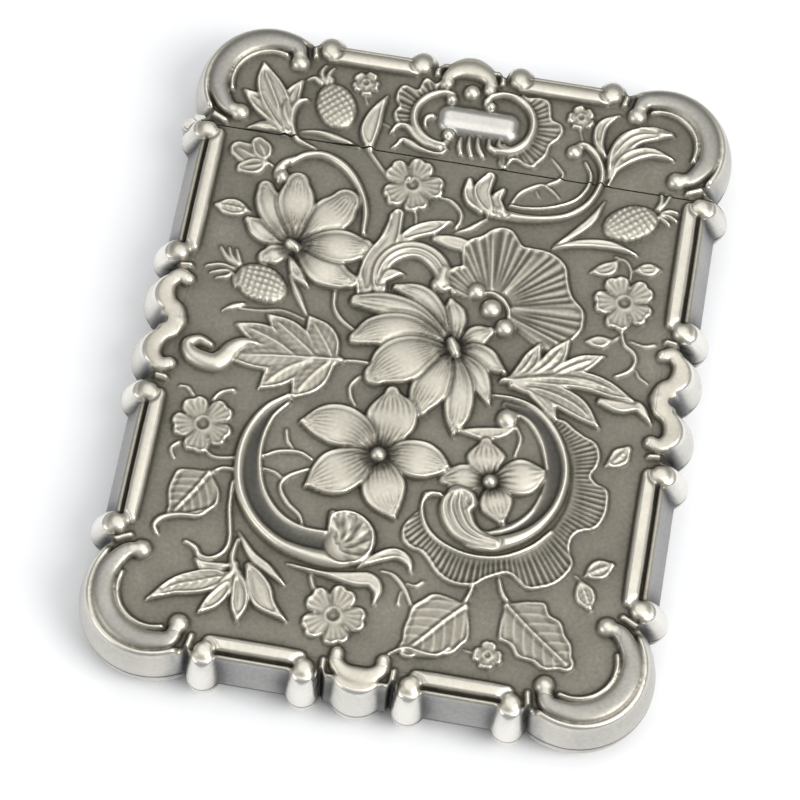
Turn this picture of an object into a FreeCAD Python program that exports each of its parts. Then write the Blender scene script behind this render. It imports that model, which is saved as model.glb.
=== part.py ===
"""Flip-top visiting card case in embossed silver: front and back half-shells, mouth collar, pin hinge.

Units are millimetres.  X runs across the case, Y along it with the lid at +Y, Z through its thickness.
The case lies on its back, so z = 0 is the flat rim of the back half.
"""
import FreeCAD
import Part
import math
import os

os.makedirs("parts", exist_ok=True)
doc = FreeCAD.newDocument("card_case")
Vector = FreeCAD.Vector
Rotation = FreeCAD.Rotation
Placement = FreeCAD.Placement

# ---------------------------------------------------------------- driving dimensions
SIZES = {
    "case_thickness": 10.5,
    "sheet": 0.55,
    "ground_depth": 1.1,
    "front_rim_depth": 0.55,
    "wall_top_x": 33.4,
    "wall_top_y": 43.8,
    "wall_mid_x": 35.5,
    "wall_mid_y": 45.6,
    "corner_x": 26.6,
    "corner_y": 36.6,
    "corner_r_top": 7.6,
    "corner_r_mid": 9.7,
    "knob_x": 33.0,
    "knob_y": 43.3,
    "knob_r": 1.3,
    "knob_outer_y": 28.5,
    "knob_inner_y": 10.1,
    "knob_outer_x": 19.1,
    "knob_inner_x": 6.6,
    "column_r_mid": 2.1,
    "column_lean_x": 1.7,
    "column_lean_y": 1.5,
    "pocket_x": 30.6,
    "pocket_y": 41.0,
    "pocket_corner_r": 4.6,
    "rod_r": 0.95,
    "rod_line_x": 31.65,
    "rod_line_y": 42.25,
    "seam_y": 29.5,
    "seam_half_gap": 0.1,
    "rim_plate": 0.6,
    "collar_x": 32.6,
    "collar_half_z": 3.15,
    "collar_wall": 0.45,
    "collar_rise": 3.1,
    "collar_sink": 7.0,
    "collar_clearance": 0.45,
    "hinge_x": 35.8,
    "hinge_half_length": 3.0,
    "knuckle_r": 1.0,
    "knuckle_gap": 0.12,
    "lid_knuckle_half": 1.0,
    "pin_r": 0.45,
    "pin_play": 0.05,
    "pin_head_r": 0.75,
    "pin_head": 0.2,
    "notch_play": 0.15,
    "lid_notch_r": 1.6,
    "leaf_out": 35.3,
    "leaf_in": 33.2,
    "leaf_drop": 1.6,
    "catch_r": 0.3,
    "catch_length": 4.0,
    "catch_rise": 1.6,
}

sheet = doc.addObject("Spreadsheet::Sheet", "Sizes")
for row, (alias, value) in enumerate(SIZES.items(), start=1):
    sheet.set("A%d" % row, alias)
    sheet.set("B%d" % row, str(value))
    sheet.setAlias("B%d" % row, alias)
doc.recompute()

T = SIZES["case_thickness"]
MID = T / 2.0
SEAM = SIZES["seam_y"]


def bind(obj, **expressions):
    """Tie properties to the sheet; PX, PY and PZ are the placement's base."""
    names = {"PX": "Placement.Base.x", "PY": "Placement.Base.y", "PZ": "Placement.Base.z"}
    for key, expression in expressions.items():
        text = expression
        for alias in sorted(SIZES, key=len, reverse=True):
            text = text.replace("@" + alias, "Sizes." + alias)
        obj.setExpression(names.get(key, key), text)
    return obj


def box(name, x0, x1, y0, y1, z0, z1):
    obj = doc.addObject("Part::Box", name)
    bind(obj, Length="(%s) - (%s)" % (x1, x0), Width="(%s) - (%s)" % (y1, y0), Height="(%s) - (%s)" % (z1, z0))
    return bind(obj, PX=x0, PY=y0, PZ=z0)


def cylinder(name, x, y, z0, z1, radius, angle=360.0, start=0.0):
    obj = doc.addObject("Part::Cylinder", name)
    obj.Placement = Placement(Vector(0, 0, 0), Rotation(Vector(0, 0, 1), start))
    obj.Angle = angle
    bind(obj, Radius=radius, Height="(%s) - (%s)" % (z1, z0))
    return bind(obj, PX=x, PY=y, PZ=z0)


def fuse(name, shapes):
    obj = doc.addObject("Part::MultiFuse", name)
    obj.Shapes = shapes
    obj.Refine = True
    return obj


def cut(name, base, tool):
    obj = doc.addObject("Part::Cut", name)
    obj.Base = base
    obj.Tool = tool
    return obj


def common(name, shapes):
    obj = doc.addObject("Part::MultiCommon", name)
    obj.Shapes = shapes
    return obj


class Half:
    """One half of the case, front (+1) or back (-1); depths are measured in from its own face."""

    def __init__(self, side):
        self.side = side
        self.tag = "front" if side > 0 else "back"

    def z(self, depth):
        return "@case_thickness - (%s)" % depth if self.side > 0 else "(%s)" % depth

    def z_value(self, depth):
        return T - depth if self.side > 0 else depth

    def span(self, near, far):
        """Lower and upper z for a slab between two depths."""
        return (self.z(far), self.z(near)) if self.side > 0 else (self.z(near), self.z(far))

    def x(self, value):
        return value * self.side

    def start(self, start, sweep):
        return start if self.side > 0 else 180.0 - start - sweep

    # ---- outer form
    def frustum(self, name, near, x_near, y_near, far, x_far, y_far):
        obj = doc.addObject("Part::Wedge", "%s_%s" % (self.tag, name))
        low, high = self.span(near, far)
        x_low, y_low, x_high, y_high = (x_far, y_far, x_near, y_near)
        if self.side < 0:
            x_low, y_low, x_high, y_high = (x_near, y_near, x_far, y_far)
        bind(obj, Xmin="-(%s)" % x_low, Xmax=x_low, Zmin="-(%s)" % y_low, Zmax=y_low)
        bind(obj, X2min="-(%s)" % x_high, X2max=x_high, Z2min="-(%s)" % y_high, Z2max=y_high)
        bind(obj, Ymin=low, Ymax=high)
        obj.Placement = Placement(Vector(0, 0, 0), Rotation(Vector(1, 0, 0), 90))
        return obj

    def cone(self, name, x, y, near, r_near, far, r_far):
        obj = doc.addObject("Part::Cone", "%s_%s" % (self.tag, name))
        low, high = self.span(near, far)
        r_low, r_high = (r_far, r_near) if self.side > 0 else (r_near, r_far)
        bind(obj, Radius1=r_low, Radius2=r_high, Height="(%s) - (%s)" % (high, low))
        return bind(obj, PX=x, PY=y, PZ=low)

    def column(self, name, x, y, r_near, r_far, lean_x, lean_y):
        """A leaning cone from the widest plane up to a knob, run on past both ends for trimming."""
        over = 0.3
        near_point = Vector(x, y, self.z_value(0.0))
        far_point = Vector(x + lean_x, y + lean_y, MID)
        axis = near_point - far_point
        foot = far_point - axis * over
        obj = doc.addObject("Part::Cone", "%s_%s" % (self.tag, name))
        obj.Radius1 = r_far + over * (r_far - r_near)
        obj.Radius2 = r_near - over * (r_far - r_near)
        obj.Height = axis.Length * (1.0 + 2.0 * over)
        obj.Placement = Placement(foot, Rotation(Vector(0, 0, 1), axis))
        return obj

    def outer(self):
        rim = "@front_rim_depth" if self.side > 0 else "0"
        mid = "@case_thickness / 2"
        shapes = [self.frustum("wall_wide", rim, "@wall_top_x", "@corner_y", mid, "@wall_mid_x", "@corner_y"),
                  self.frustum("wall_long", rim, "@corner_x", "@wall_top_y", mid, "@corner_x", "@wall_mid_y")]
        for i, (sx, sy) in enumerate(((1, 1), (-1, 1), (-1, -1), (1, -1))):
            shapes.append(self.cone("corner%d" % i, "%d * @corner_x" % sx, "%d * @corner_y" % sy,
                                    rim, "@corner_r_top", mid, "@corner_r_mid"))
        r_near = SIZES["knob_r"]
        r_far = SIZES["column_r_mid"]
        count = 0
        for sx in (1, -1):
            for y in (SIZES["knob_outer_y"], SIZES["knob_inner_y"]):
                for sy in (1, -1):
                    count += 1
                    shapes.append(self.column("column%d" % count, sx * SIZES["knob_x"], sy * y,
                                              r_near, r_far, sx * SIZES["column_lean_x"], 0.0))
            for sy in (1, -1):
                count += 1
                shapes.append(self.column("column%d" % count, sx * 32.0, sy * 4.0,
                                          2.7, 3.7, sx * 1.1, 0.0))
        for sy in (1, -1):
            for x in (SIZES["knob_outer_x"], SIZES["knob_inner_x"]):
                for sx in (1, -1):
                    count += 1
                    shapes.append(self.column("column%d" % count, sx * x, sy * SIZES["knob_y"],
                                              r_near, r_far, 0.0, sy * SIZES["column_lean_y"]))
            count += 1
            shapes.append(self.column("column%d" % count, 0.0, sy * 42.0, 3.3, 3.9, 0.0, sy * 1.0))
        body = fuse("%s_outer_union" % self.tag, shapes)
        low, high = self.span(rim, mid)
        slab = box("%s_slab" % self.tag, "-60", "60", "-60", "60", low, high)
        return common("%s_outer" % self.tag, [body, slab])

    def pocket(self):
        """The sunk ground inside the border, with rounded corners."""
        low, high = self.span("-2", "@ground_depth")
        name = self.tag
        shapes = [box(name + "_pocket_wide", "-@pocket_x", "@pocket_x", "-@pocket_y + @pocket_corner_r",
                      "@pocket_y - @pocket_corner_r", low, high),
                  box(name + "_pocket_long", "-@pocket_x + @pocket_corner_r", "@pocket_x - @pocket_corner_r",
                      "-@pocket_y", "@pocket_y", low, high)]
        for i, (sx, sy) in enumerate(((1, 1), (-1, 1), (-1, -1), (1, -1))):
            shapes.append(cylinder("%s_pocket_corner%d" % (name, i),
                                   "%d * (@pocket_x - @pocket_corner_r)" % sx,
                                   "%d * (@pocket_y - @pocket_corner_r)" % sy, low, high, "@pocket_corner_r"))
        return fuse(name + "_pocket", shapes)

    def cavity(self):
        """The hollow behind the sheet metal."""
        t = "@sheet"
        mid = "@case_thickness / 2"
        near = "@ground_depth + @sheet"
        k = "(%s) / (@case_thickness / 2)" % near
        wall_x = "@wall_top_x + (@wall_mid_x - @wall_top_x) * %s - %s" % (k, t)
        wall_y = "@wall_top_y + (@wall_mid_y - @wall_top_y) * %s - %s" % (k, t)
        shapes = [self.frustum("hollow_wide", near, wall_x, "@corner_y", mid, "@wall_mid_x - @sheet", "@corner_y"),
                  self.frustum("hollow_long", near, "@corner_x", wall_y, mid, "@corner_x", "@wall_mid_y - @sheet")]
        r_near = "@corner_r_top + (@corner_r_mid - @corner_r_top) * %s - %s" % (k, t)
        for i, (sx, sy) in enumerate(((1, 1), (-1, 1), (-1, -1), (1, -1))):
            shapes.append(self.cone("hollow_corner%d" % i, "%d * @corner_x" % sx, "%d * @corner_y" % sy,
                                    near, r_near, mid, "@corner_r_mid - @sheet"))
        return shapes

    # ---- raised work
    def dome(self, name, x, y, half_length, half_width, height, angle):
        """Half an ellipsoid standing on the ground."""
        obj = doc.addObject("Part::Ellipsoid", "%s_%s" % (self.tag, name))
        obj.Radius1 = height
        obj.Radius2 = half_length
        obj.Radius3 = half_width
        turn = angle if self.side > 0 else 180.0 - angle
        z = self.z_value(SIZES["ground_depth"])
        obj.Placement = Placement(Vector(self.x(x), y, z), Rotation(Vector(0, 0, 1), turn))
        return obj

    def ball(self, name, x, y, radius, depth_of_top=0.0):
        obj = doc.addObject("Part::Sphere", "%s_%s" % (self.tag, name))
        obj.Radius = radius
        obj.Placement = Placement(Vector(self.x(x), y, self.z_value(depth_of_top + radius)), Rotation())
        return obj

    def scroll(self, name, x, y, major, minor, start, sweep, depth):
        """Part of a ring of round section."""
        obj = doc.addObject("Part::Torus", "%s_%s" % (self.tag, name))
        obj.Radius1 = major
        obj.Radius2 = minor
        obj.Angle3 = sweep
        turn = self.start(start, sweep)
        obj.Placement = Placement(Vector(self.x(x), y, self.z_value(depth)), Rotation(Vector(0, 0, 1), turn))
        return obj

    def rod(self, name, along_x, x, y, length, depth):
        obj = doc.addObject("Part::Cylinder", "%s_%s" % (self.tag, name))
        axis = Vector(1, 0, 0) if along_x else Vector(0, 1, 0)
        bind(obj, Radius="@rod_r")
        obj.Height = length
        obj.Placement = Placement(Vector(x, y, self.z_value(depth)), Rotation(Vector(0, 0, 1), axis))
        return obj


# raised ornament on the ground: (x, y, half length, half width, height, angle)
LEAVES = (
    (-25.2, 34.6, 4.8, 1.9, 0.75, 125.0), (-22.9, 34.9, 3.4, 1.1, 0.7, 70.0), (-11.4, 33.4, 3.9, 1.15, 0.7, 95.0),
    (-17.2, 30.9, 3.6, 0.55, 0.5, -8.0), (24.0, 38.0, 4.4, 1.0, 0.8, 30.0), (24.6, 34.6, 4.4, 0.8, 0.7, 25.0),
    (19.2, 37.4, 2.8, 0.7, 0.6, 70.0), (-27.0, 26.3, 2.4, 1.3, 0.55, 150.0), (-25.4, 26.9, 1.9, 1.1, 0.5, 60.0),
    (-28.0, 17.8, 2.0, 1.1, 0.55, 0.0), (-17.2, -1.8, 7.4, 4.3, 0.65, 3.0), (-27.2, -4.2, 2.4, 1.4, 0.85, -15.0),
    (18.6, 0.9, 9.4, 2.9, 0.75, -4.0), (16.2, 4.6, 3.6, 1.1, 0.6, 50.0), (20.4, -20.3, 0.8, 0.8, 0.4, 0.0),
    (-25.0, -22.9, 4.0, 3.1, 0.55, 60.0), (-19.8, -34.2, 6.0, 1.8, 0.65, 20.0), (-14.2, -34.6, 3.8, 1.6, 0.65, -35.0),
    (-16.4, -36.4, 3.0, 1.1, 0.65, -80.0), (8.4, -35.3, 4.6, 3.3, 0.6, 55.0), (20.6, -33.8, 5.2, 3.3, 0.6, -40.0),
    (-6.2, 18.8, 3.2, 0.9, 0.6, 110.0), (2.0, 17.2, 3.2, 1.0, 0.6, -10.0), (-1.6, 19.3, 2.9, 0.8, 0.6, 25.0),
    (20.2, 20.4, 5.2, 0.75, 0.55, 5.0), (17.7, 23.0, 3.6, 0.6, 0.5, 52.0), (1.4, -28.2, 3.0, 0.8, 0.55, 10.0),
    (10.3, -8.6, 3.0, 0.9, 0.5, 10.0), (27.2, -8.8, 1.8, 1.2, 0.5, 50.0), (26.9, -24.4, 1.5, 1.2, 0.45, 20.0),
    (26.3, -27.9, 1.5, 1.1, 0.45, -70.0),
)
# pineapples are the same kind of mound, taller
PINEAPPLES = ((-16.7, 34.5, 3.4, 2.5, 0.95, -65.0), (-21.6, 7.2, 3.6, 2.4, 0.95, -22.0), (24.2, 24.4, 3.7, 2.4, 0.95, 28.0))
# flowers: (x, y, reach of the petals, petal half width, number, angle of the first, height)
FLOWERS = (
    (-18.7, 13.4, 8.2, 2.2, 8, 5.0, 0.85), (4.2, 2.6, 8.8, 2.1, 9, 10.0, 0.95), (-2.6, -13.6, 8.3, 2.7, 5, -8.0, 0.85),
    (11.8, -14.9, 5.6, 2.0, 4, 20.0, 0.8), (-4.8, 25.3, 3.7, 1.25, 5, 25.0, 0.6), (25.1, 12.8, 3.8, 1.3, 5, 15.0, 0.6),
    (-25.3, -13.4, 3.8, 1.3, 5, 20.0, 0.6), (-4.3, -36.0, 3.8, 1.3, 5, 5.0, 0.6), (-13.6, 39.0, 1.8, 0.7, 5, 30.0, 0.5),
    (15.6, 38.6, 1.8, 0.7, 5, 10.0, 0.5), (15.2, -37.9, 1.8, 0.7, 4, 45.0, 0.45),
)
# scrolls: (x, y, ring radius, half thickness, start angle, sweep)
SCROLLS = (
    (-2.7, 35.6, 3.8, 0.6, 75.0, 215.0), (5.4, 35.9, 4.0, 0.6, -110.0, 235.0), (12.6, 29.4, 6.6, 0.75, -100.0, 150.0),
    (-16.6, 19.4, 7.4, 0.55, -15.0, 150.0), (-3.2, 11.3, 4.4, 1.0, 5.0, 185.0), (-8.3, -17.4, 10.6, 0.75, 110.0, 170.0),
    (12.0, -13.3, 9.4, 0.7, -140.0, 225.0),
)
BEADS = ((0.6, 40.3, 1.1), (6.0, 11.2, 1.1), (8.2, 9.0, 1.25), (10.4, 6.6, 1.2), (12.6, -6.1, 1.2))


def raised_work(half):
    """All the ornament and border mouldings of one face."""
    made = []
    tops = ("@ground_depth - 0.85", "@ground_depth")
    for i, (x, y, a, b, h, angle) in enumerate(LEAVES + PINEAPPLES):
        made.append(half.dome("leaf%d" % i, x, y, a, b, h, angle))
    for i, (x, y, reach, width, number, first, height) in enumerate(FLOWERS):
        heart = 0.16 * reach + 0.25
        made.append(half.dome("flower%d_heart" % i, x, y, heart, heart, height, 0.0))
        inner = heart * 0.85
        for k in range(number):
            angle = first + 360.0 * k / number
            middle = (inner + reach) / 2.0
            along = math.radians(angle)
            allowed = middle * math.sin(math.pi / number) * 0.93
            made.append(half.dome("flower%d_petal%d" % (i, k), x + middle * math.cos(along),
                                  y + middle * math.sin(along), (reach - inner) / 2.0,
                                  min(width, allowed), height * 0.85, angle))
    for i, (x, y, major, minor, start, sweep) in enumerate(SCROLLS):
        depth = max(SIZES["ground_depth"] - 0.15, minor + 0.2)
        made.append(half.scroll("scroll%d" % i, x, y, major, minor, start, sweep, depth))
    for i, (x, y, radius) in enumerate(BEADS):
        made.append(half.ball("bead%d" % i, x, y, radius, 0.15))
    low, high = half.span(tops[0], tops[1])
    plate = "%s_name_plate" % half.tag
    made.append(box(plate, "%f" % (half.x(2.3) - 3.2), "%f" % (half.x(2.3) + 3.2), "34.1", "37.3", low, high))
    for i, dx in enumerate((-3.2, 3.2)):
        made.append(cylinder("%s_end%d" % (plate, i), "%f" % (half.x(2.3) + dx), "35.7", low, high, "1.6"))
    ribs = 8
    for k in range(ribs):
        angle = -32.0 + 19.5 * k
        along = math.radians(angle)
        made.append(half.dome("fan_rib%d" % k, 8.0 + 7.2 * math.cos(along), 9.4 + 7.2 * math.sin(along),
                              3.9, 1.12, 0.6, angle))
    return made


def border(half):
    """Knobs, rods, corner scrolls and centre brackets round the face."""
    made = []
    flat = half.side < 0
    knobs = []
    for sx in (1, -1):
        for sy in (1, -1):
            knobs += [(sx * 33.0, sy * SIZES["knob_outer_y"]), (sx * 33.0, sy * SIZES["knob_inner_y"])]
            knobs += [(sx * SIZES["knob_outer_x"], sy * 43.2), (sx * SIZES["knob_inner_x"], sy * 43.2)]
    if flat:
        return made
    for i, (x, y) in enumerate(knobs):
        made.append(half.ball("knob%d" % i, x, y, SIZES["knob_r"]))
    side_length = SIZES["knob_outer_y"] - SIZES["knob_inner_y"] - 1.6
    end_length = SIZES["knob_outer_x"] - SIZES["knob_inner_x"] - 1.6
    depth = SIZES["rod_r"] + 0.15
    for i, sx in enumerate((1, -1)):
        x = sx * SIZES["rod_line_x"]
        made.append(half.rod("side_rod%d" % (2 * i), False, x, SIZES["knob_inner_y"] + 0.8, side_length, depth))
        made.append(half.rod("side_rod%d" % (2 * i + 1), False, x, -SIZES["knob_outer_y"] + 0.8, side_length, depth))
        y = sx * SIZES["rod_line_y"]
        made.append(half.rod("end_rod%d" % (2 * i), True, SIZES["knob_inner_x"] + 0.8, y, end_length, depth))
        made.append(half.rod("end_rod%d" % (2 * i + 1), True, -SIZES["knob_outer_x"] + 0.8, y, end_length, depth))
    for i, (sx, sy, start) in enumerate(((1, 1, -30.0), (-1, 1, 60.0), (-1, -1, 150.0), (1, -1, 240.0))):
        x = sx * SIZES["corner_x"]
        y = sy * SIZES["corner_y"]
        made.append(half.scroll("corner_scroll%d" % i, x, y, 6.0, 1.25, start, 150.0, 1.4))
        for k, angle in enumerate((start, start + 150.0)):
            along = math.radians(angle)
            made.append(half.ball("corner_ball%d_%d" % (i, k), x + 5.4 * math.cos(along),
                                  y + 5.4 * math.sin(along), 1.25, 0.05))
    for i, (sx, sy) in enumerate(((1, 1), (-1, 1), (-1, -1), (1, -1))):
        start = -95.0 if sx > 0 else 85.0
        made.append(half.scroll("side_bracket%d" % i, sx * 31.7, sy * 4.0, 2.0, 0.75, start, 190.0, 0.85))
    for i, sy in enumerate((1, -1)):
        made.append(half.scroll("end_bracket%d" % i, 0.0, sy * 42.2, 2.7, 0.85, 0.0 if sy > 0 else 180.0, 180.0, 0.9))
    return made


# ---------------------------------------------------------------- the two stamped halves
front = Half(1)
back = Half(-1)
halves = {}
for half in (front, back):
    outer = half.outer()
    sunk = cut("%s_sunk" % half.tag, outer, half.pocket())
    halves[half.tag] = fuse("%s_embossed" % half.tag, [sunk] + raised_work(half) + border(half))

hollow = fuse("hollow", front.cavity() + back.cavity())

LOW_Z = "0"
HIGH_Z = "@case_thickness"
MID_Z = "@case_thickness / 2"
body_zone = box("body_zone", "-60", "60", "-60", "@seam_y - @seam_half_gap", "-5", "20")
lid_zone = box("lid_zone", "-60", "60", "@seam_y + @seam_half_gap", "60", "-5", "20")
body_notch = cylinder("body_notch", "-@hinge_x", "@seam_y", "@case_thickness / 2 - @hinge_half_length - @notch_play",
                      "@case_thickness / 2 + @hinge_half_length + @notch_play", "@knuckle_r + @notch_play")
lid_notch = cylinder("lid_notch", "-@hinge_x", "@seam_y", "-5", "20", "@lid_notch_r")
HINGE_LOW = "@case_thickness / 2 - @hinge_half_length"
HINGE_HIGH = "@case_thickness / 2 + @hinge_half_length"
body_leaf_space = box("body_leaf_space", "-@leaf_out", "-@leaf_in", "@seam_y - @seam_half_gap - @leaf_drop",
                      "@seam_y - @seam_half_gap", HINGE_LOW, HINGE_HIGH)
lid_leaf_space = box("lid_leaf_space", "-@leaf_out", "-@leaf_in", "@seam_y + @seam_half_gap",
                     "@seam_y + @seam_half_gap + @leaf_drop", HINGE_LOW, HINGE_HIGH)
body_away = fuse("body_away", [body_notch, body_leaf_space])
lid_away = fuse("lid_away", [lid_notch, lid_leaf_space])

nodes = {}
for tag in ("front", "back"):
    shell = cut("%s_shell" % tag, halves[tag], hollow)
    body_part = common("body_%s_part" % tag, [shell, body_zone])
    lid_part = common("lid_%s_part" % tag, [shell, lid_zone])
    nodes["body_%s_shell" % tag] = cut("body_%s_shell" % tag, body_part, body_away)
    nodes["lid_%s_shell" % tag] = cut("lid_%s_shell" % tag, lid_part, lid_away)

# ---------------------------------------------------------------- mouth plates and collar
COLLAR_LOW = "@case_thickness / 2 - @collar_half_z"
COLLAR_HIGH = "@case_thickness / 2 + @collar_half_z"
collar_out = box("collar_out", "-@collar_x", "@collar_x", "@seam_y - @collar_sink", "@seam_y + @collar_rise",
                 COLLAR_LOW, COLLAR_HIGH)
collar_in = box("collar_in", "-@collar_x + @collar_wall", "@collar_x - @collar_wall", "@seam_y - @collar_sink - 1",
                "@seam_y + @collar_rise + 1", COLLAR_LOW + " + @collar_wall", COLLAR_HIGH + " - @collar_wall")
nodes["mouth_collar"] = cut("mouth_collar", collar_out, collar_in)

body_plate_zone = box("body_plate_zone", "-60", "60", "@seam_y - @seam_half_gap - @rim_plate",
                      "@seam_y - @seam_half_gap", LOW_Z, HIGH_Z)
body_plate_full = common("body_plate_full", [hollow, body_plate_zone])
body_plate_away = fuse("body_plate_away", [collar_out, body_leaf_space, body_notch])
nodes["body_mouth_plate"] = cut("body_mouth_plate", body_plate_full, body_plate_away)

lid_plate_zone = box("lid_plate_zone", "-60", "60", "@seam_y + @seam_half_gap",
                     "@seam_y + @seam_half_gap + @rim_plate", LOW_Z, HIGH_Z)
lid_plate_full = common("lid_plate_full", [hollow, lid_plate_zone])
collar_room = box("collar_room", "-@collar_x - @collar_clearance", "@collar_x + @collar_clearance", "@seam_y - 5",
                  "@seam_y + @collar_rise + 1", COLLAR_LOW + " - 0.25", COLLAR_HIGH + " + 0.25")
lid_plate_away = fuse("lid_plate_away", [collar_room, lid_leaf_space, lid_notch])
nodes["lid_mouth_plate"] = cut("lid_mouth_plate", lid_plate_full, lid_plate_away)

catch_round = cylinder("catch_round", "@collar_x", "@seam_y + @catch_rise", "@case_thickness / 2 - @catch_length / 2",
                       "@case_thickness / 2 + @catch_length / 2", "@catch_r")
nodes["catch_ridge"] = cut("catch_ridge", catch_round, collar_out)

# ---------------------------------------------------------------- hinge on the left edge
GAP_LOW = "@case_thickness / 2 - @lid_knuckle_half"
GAP_HIGH = "@case_thickness / 2 + @lid_knuckle_half"
barrel_zone = cylinder("barrel_zone", "-@hinge_x", "@seam_y", HINGE_LOW + " - 1", HINGE_HIGH + " + 1", "@knuckle_r")
lid_sweep = cylinder("lid_sweep", "-@hinge_x", "@seam_y", GAP_LOW + " - @knuckle_gap", GAP_HIGH + " + @knuckle_gap",
                     "@knuckle_r + @notch_play")
body_leaf_away = fuse("body_leaf_away", [barrel_zone, lid_sweep])
nodes["body_hinge_leaf"] = cut("body_hinge_leaf", body_leaf_space, body_leaf_away)

sweep_low = cylinder("sweep_low", "-@hinge_x", "@seam_y", HINGE_LOW + " - 1", GAP_LOW, "@knuckle_r + @notch_play")
sweep_high = cylinder("sweep_high", "-@hinge_x", "@seam_y", GAP_HIGH, HINGE_HIGH + " + 1", "@knuckle_r + @notch_play")
lid_leaf_away = fuse("lid_leaf_away", [barrel_zone, sweep_low, sweep_high])
nodes["lid_hinge_leaf"] = cut("lid_hinge_leaf", lid_leaf_space, lid_leaf_away)

pin_bore = cylinder("pin_bore", "-@hinge_x", "@seam_y", "-2", "@case_thickness + 2", "@pin_r")
running_bore = cylinder("running_bore", "-@hinge_x", "@seam_y", "-2", "@case_thickness + 2", "@pin_r + @pin_play")
tube_low = cylinder("tube_low", "-@hinge_x", "@seam_y", HINGE_LOW, GAP_LOW + " - @knuckle_gap", "@knuckle_r")
tube_high = cylinder("tube_high", "-@hinge_x", "@seam_y", GAP_HIGH + " + @knuckle_gap", HINGE_HIGH, "@knuckle_r")
tube_lid = cylinder("tube_lid", "-@hinge_x", "@seam_y", GAP_LOW, GAP_HIGH, "@knuckle_r")
nodes["body_knuckle_back"] = cut("body_knuckle_back", tube_low, pin_bore)
nodes["body_knuckle_front"] = cut("body_knuckle_front", tube_high, pin_bore)
nodes["lid_knuckle"] = cut("lid_knuckle", tube_lid, running_bore)

pin_stem = cylinder("pin_stem", "-@hinge_x", "@seam_y", HINGE_LOW, HINGE_HIGH, "@pin_r")
pin_foot = cylinder("pin_foot", "-@hinge_x", "@seam_y", HINGE_LOW + " - @pin_head", HINGE_LOW, "@pin_head_r")
pin_top = cylinder("pin_top", "-@hinge_x", "@seam_y", HINGE_HIGH, HINGE_HIGH + " + @pin_head", "@pin_head_r")
nodes["hinge_pin"] = fuse("hinge_pin", [pin_stem, pin_foot, pin_top])

doc.recompute()

# ---------------------------------------------------------------- checks and export
for obj in doc.Objects:
    if "Invalid" in obj.State or "Error" in obj.State:
        raise RuntimeError("bad object " + obj.Name + " " + str(obj.State))
for name, obj in nodes.items():
    obj.Label = name
    shape = obj.Shape
    if shape.isNull() or not shape.isValid() or shape.Volume <= 0.0:
        raise RuntimeError("bad shape " + name)
    print("%-20s solids %d volume %.2f" % (name, len(shape.Solids), shape.Volume))
    shape.exportStep(os.path.join("parts", name + ".step"))
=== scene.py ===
"""Silver card case: chased skins, finishes, light and camera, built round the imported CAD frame."""
from math import cos, pi, radians, sin

import bpy
import numpy as np
from mathutils import Euler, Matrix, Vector


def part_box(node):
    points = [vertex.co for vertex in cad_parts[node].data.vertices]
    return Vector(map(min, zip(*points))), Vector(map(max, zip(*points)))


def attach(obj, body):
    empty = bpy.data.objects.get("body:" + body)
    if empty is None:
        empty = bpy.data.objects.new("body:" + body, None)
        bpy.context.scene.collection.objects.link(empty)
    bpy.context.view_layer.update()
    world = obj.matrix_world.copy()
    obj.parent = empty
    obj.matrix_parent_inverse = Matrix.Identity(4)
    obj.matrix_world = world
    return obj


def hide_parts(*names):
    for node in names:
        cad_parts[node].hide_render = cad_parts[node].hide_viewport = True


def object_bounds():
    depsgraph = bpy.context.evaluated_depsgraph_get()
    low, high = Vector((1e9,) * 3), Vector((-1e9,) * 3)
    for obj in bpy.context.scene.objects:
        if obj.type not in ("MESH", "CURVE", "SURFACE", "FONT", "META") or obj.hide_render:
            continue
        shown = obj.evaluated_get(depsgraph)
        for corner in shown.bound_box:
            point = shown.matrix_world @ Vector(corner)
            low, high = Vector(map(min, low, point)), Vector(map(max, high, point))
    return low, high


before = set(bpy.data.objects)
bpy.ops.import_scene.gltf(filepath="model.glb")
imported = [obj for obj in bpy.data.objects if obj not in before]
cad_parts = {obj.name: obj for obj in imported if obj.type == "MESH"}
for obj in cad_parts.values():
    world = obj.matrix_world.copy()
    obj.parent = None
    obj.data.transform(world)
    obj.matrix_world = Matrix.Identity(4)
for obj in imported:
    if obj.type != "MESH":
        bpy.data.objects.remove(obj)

CAD_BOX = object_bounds()
MM = 0.001

# ------------------------------------------------------------------ sizes, in millimetres
# from the frame: how thick the case is, and where the hinge, the seam and the mouth plate are
THICKNESS = (CAD_BOX[1].z - CAD_BOX[0].z) / MM
MIDDLE = THICKNESS / 2
PIN_LOW, PIN_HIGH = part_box("hinge_pin")
HINGE_X, SEAM_Y, _ = (PIN_LOW + PIN_HIGH) / 2 / MM
PLATE_LOW, PLATE_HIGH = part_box("lid_mouth_plate")
SEAM_GAP = PLATE_LOW.y / MM - SEAM_Y
# the skin's cut edge reaches in over the mouth plate by this much at the sides and at the top
RIM_X = -PLATE_LOW.x / MM - 0.15
RIM_Z = PLATE_HIGH.z / MM - 0.1

# the sunk ground of the face below the highest work
GROUND_DEPTH = 1.1
GROUND_Z = THICKNESS - GROUND_DEPTH
# raised work is laid this much further up the face than its listed place
RAISED_SHIFT = 0.22

# the outline of one half: a wall that leans out from the top edge to the middle line
WALL_X = (33.4, 35.5)
WALL_Y = (43.8, 45.6)
CORNER = (26.6, 36.6)
CORNER_R = (8.15, 9.7)
EDGE_ROUND = 0.35
# half axes, round each corner's centre, of the path where the flat field hands over to the border ring,
# and how far the grid, and the faces kept from it, go on under the ring
FIELD_X = 4.3
FIELD_Y = 4.7
FIELD_OVERLAP = 0.55
FIELD_END = 0.48
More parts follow.
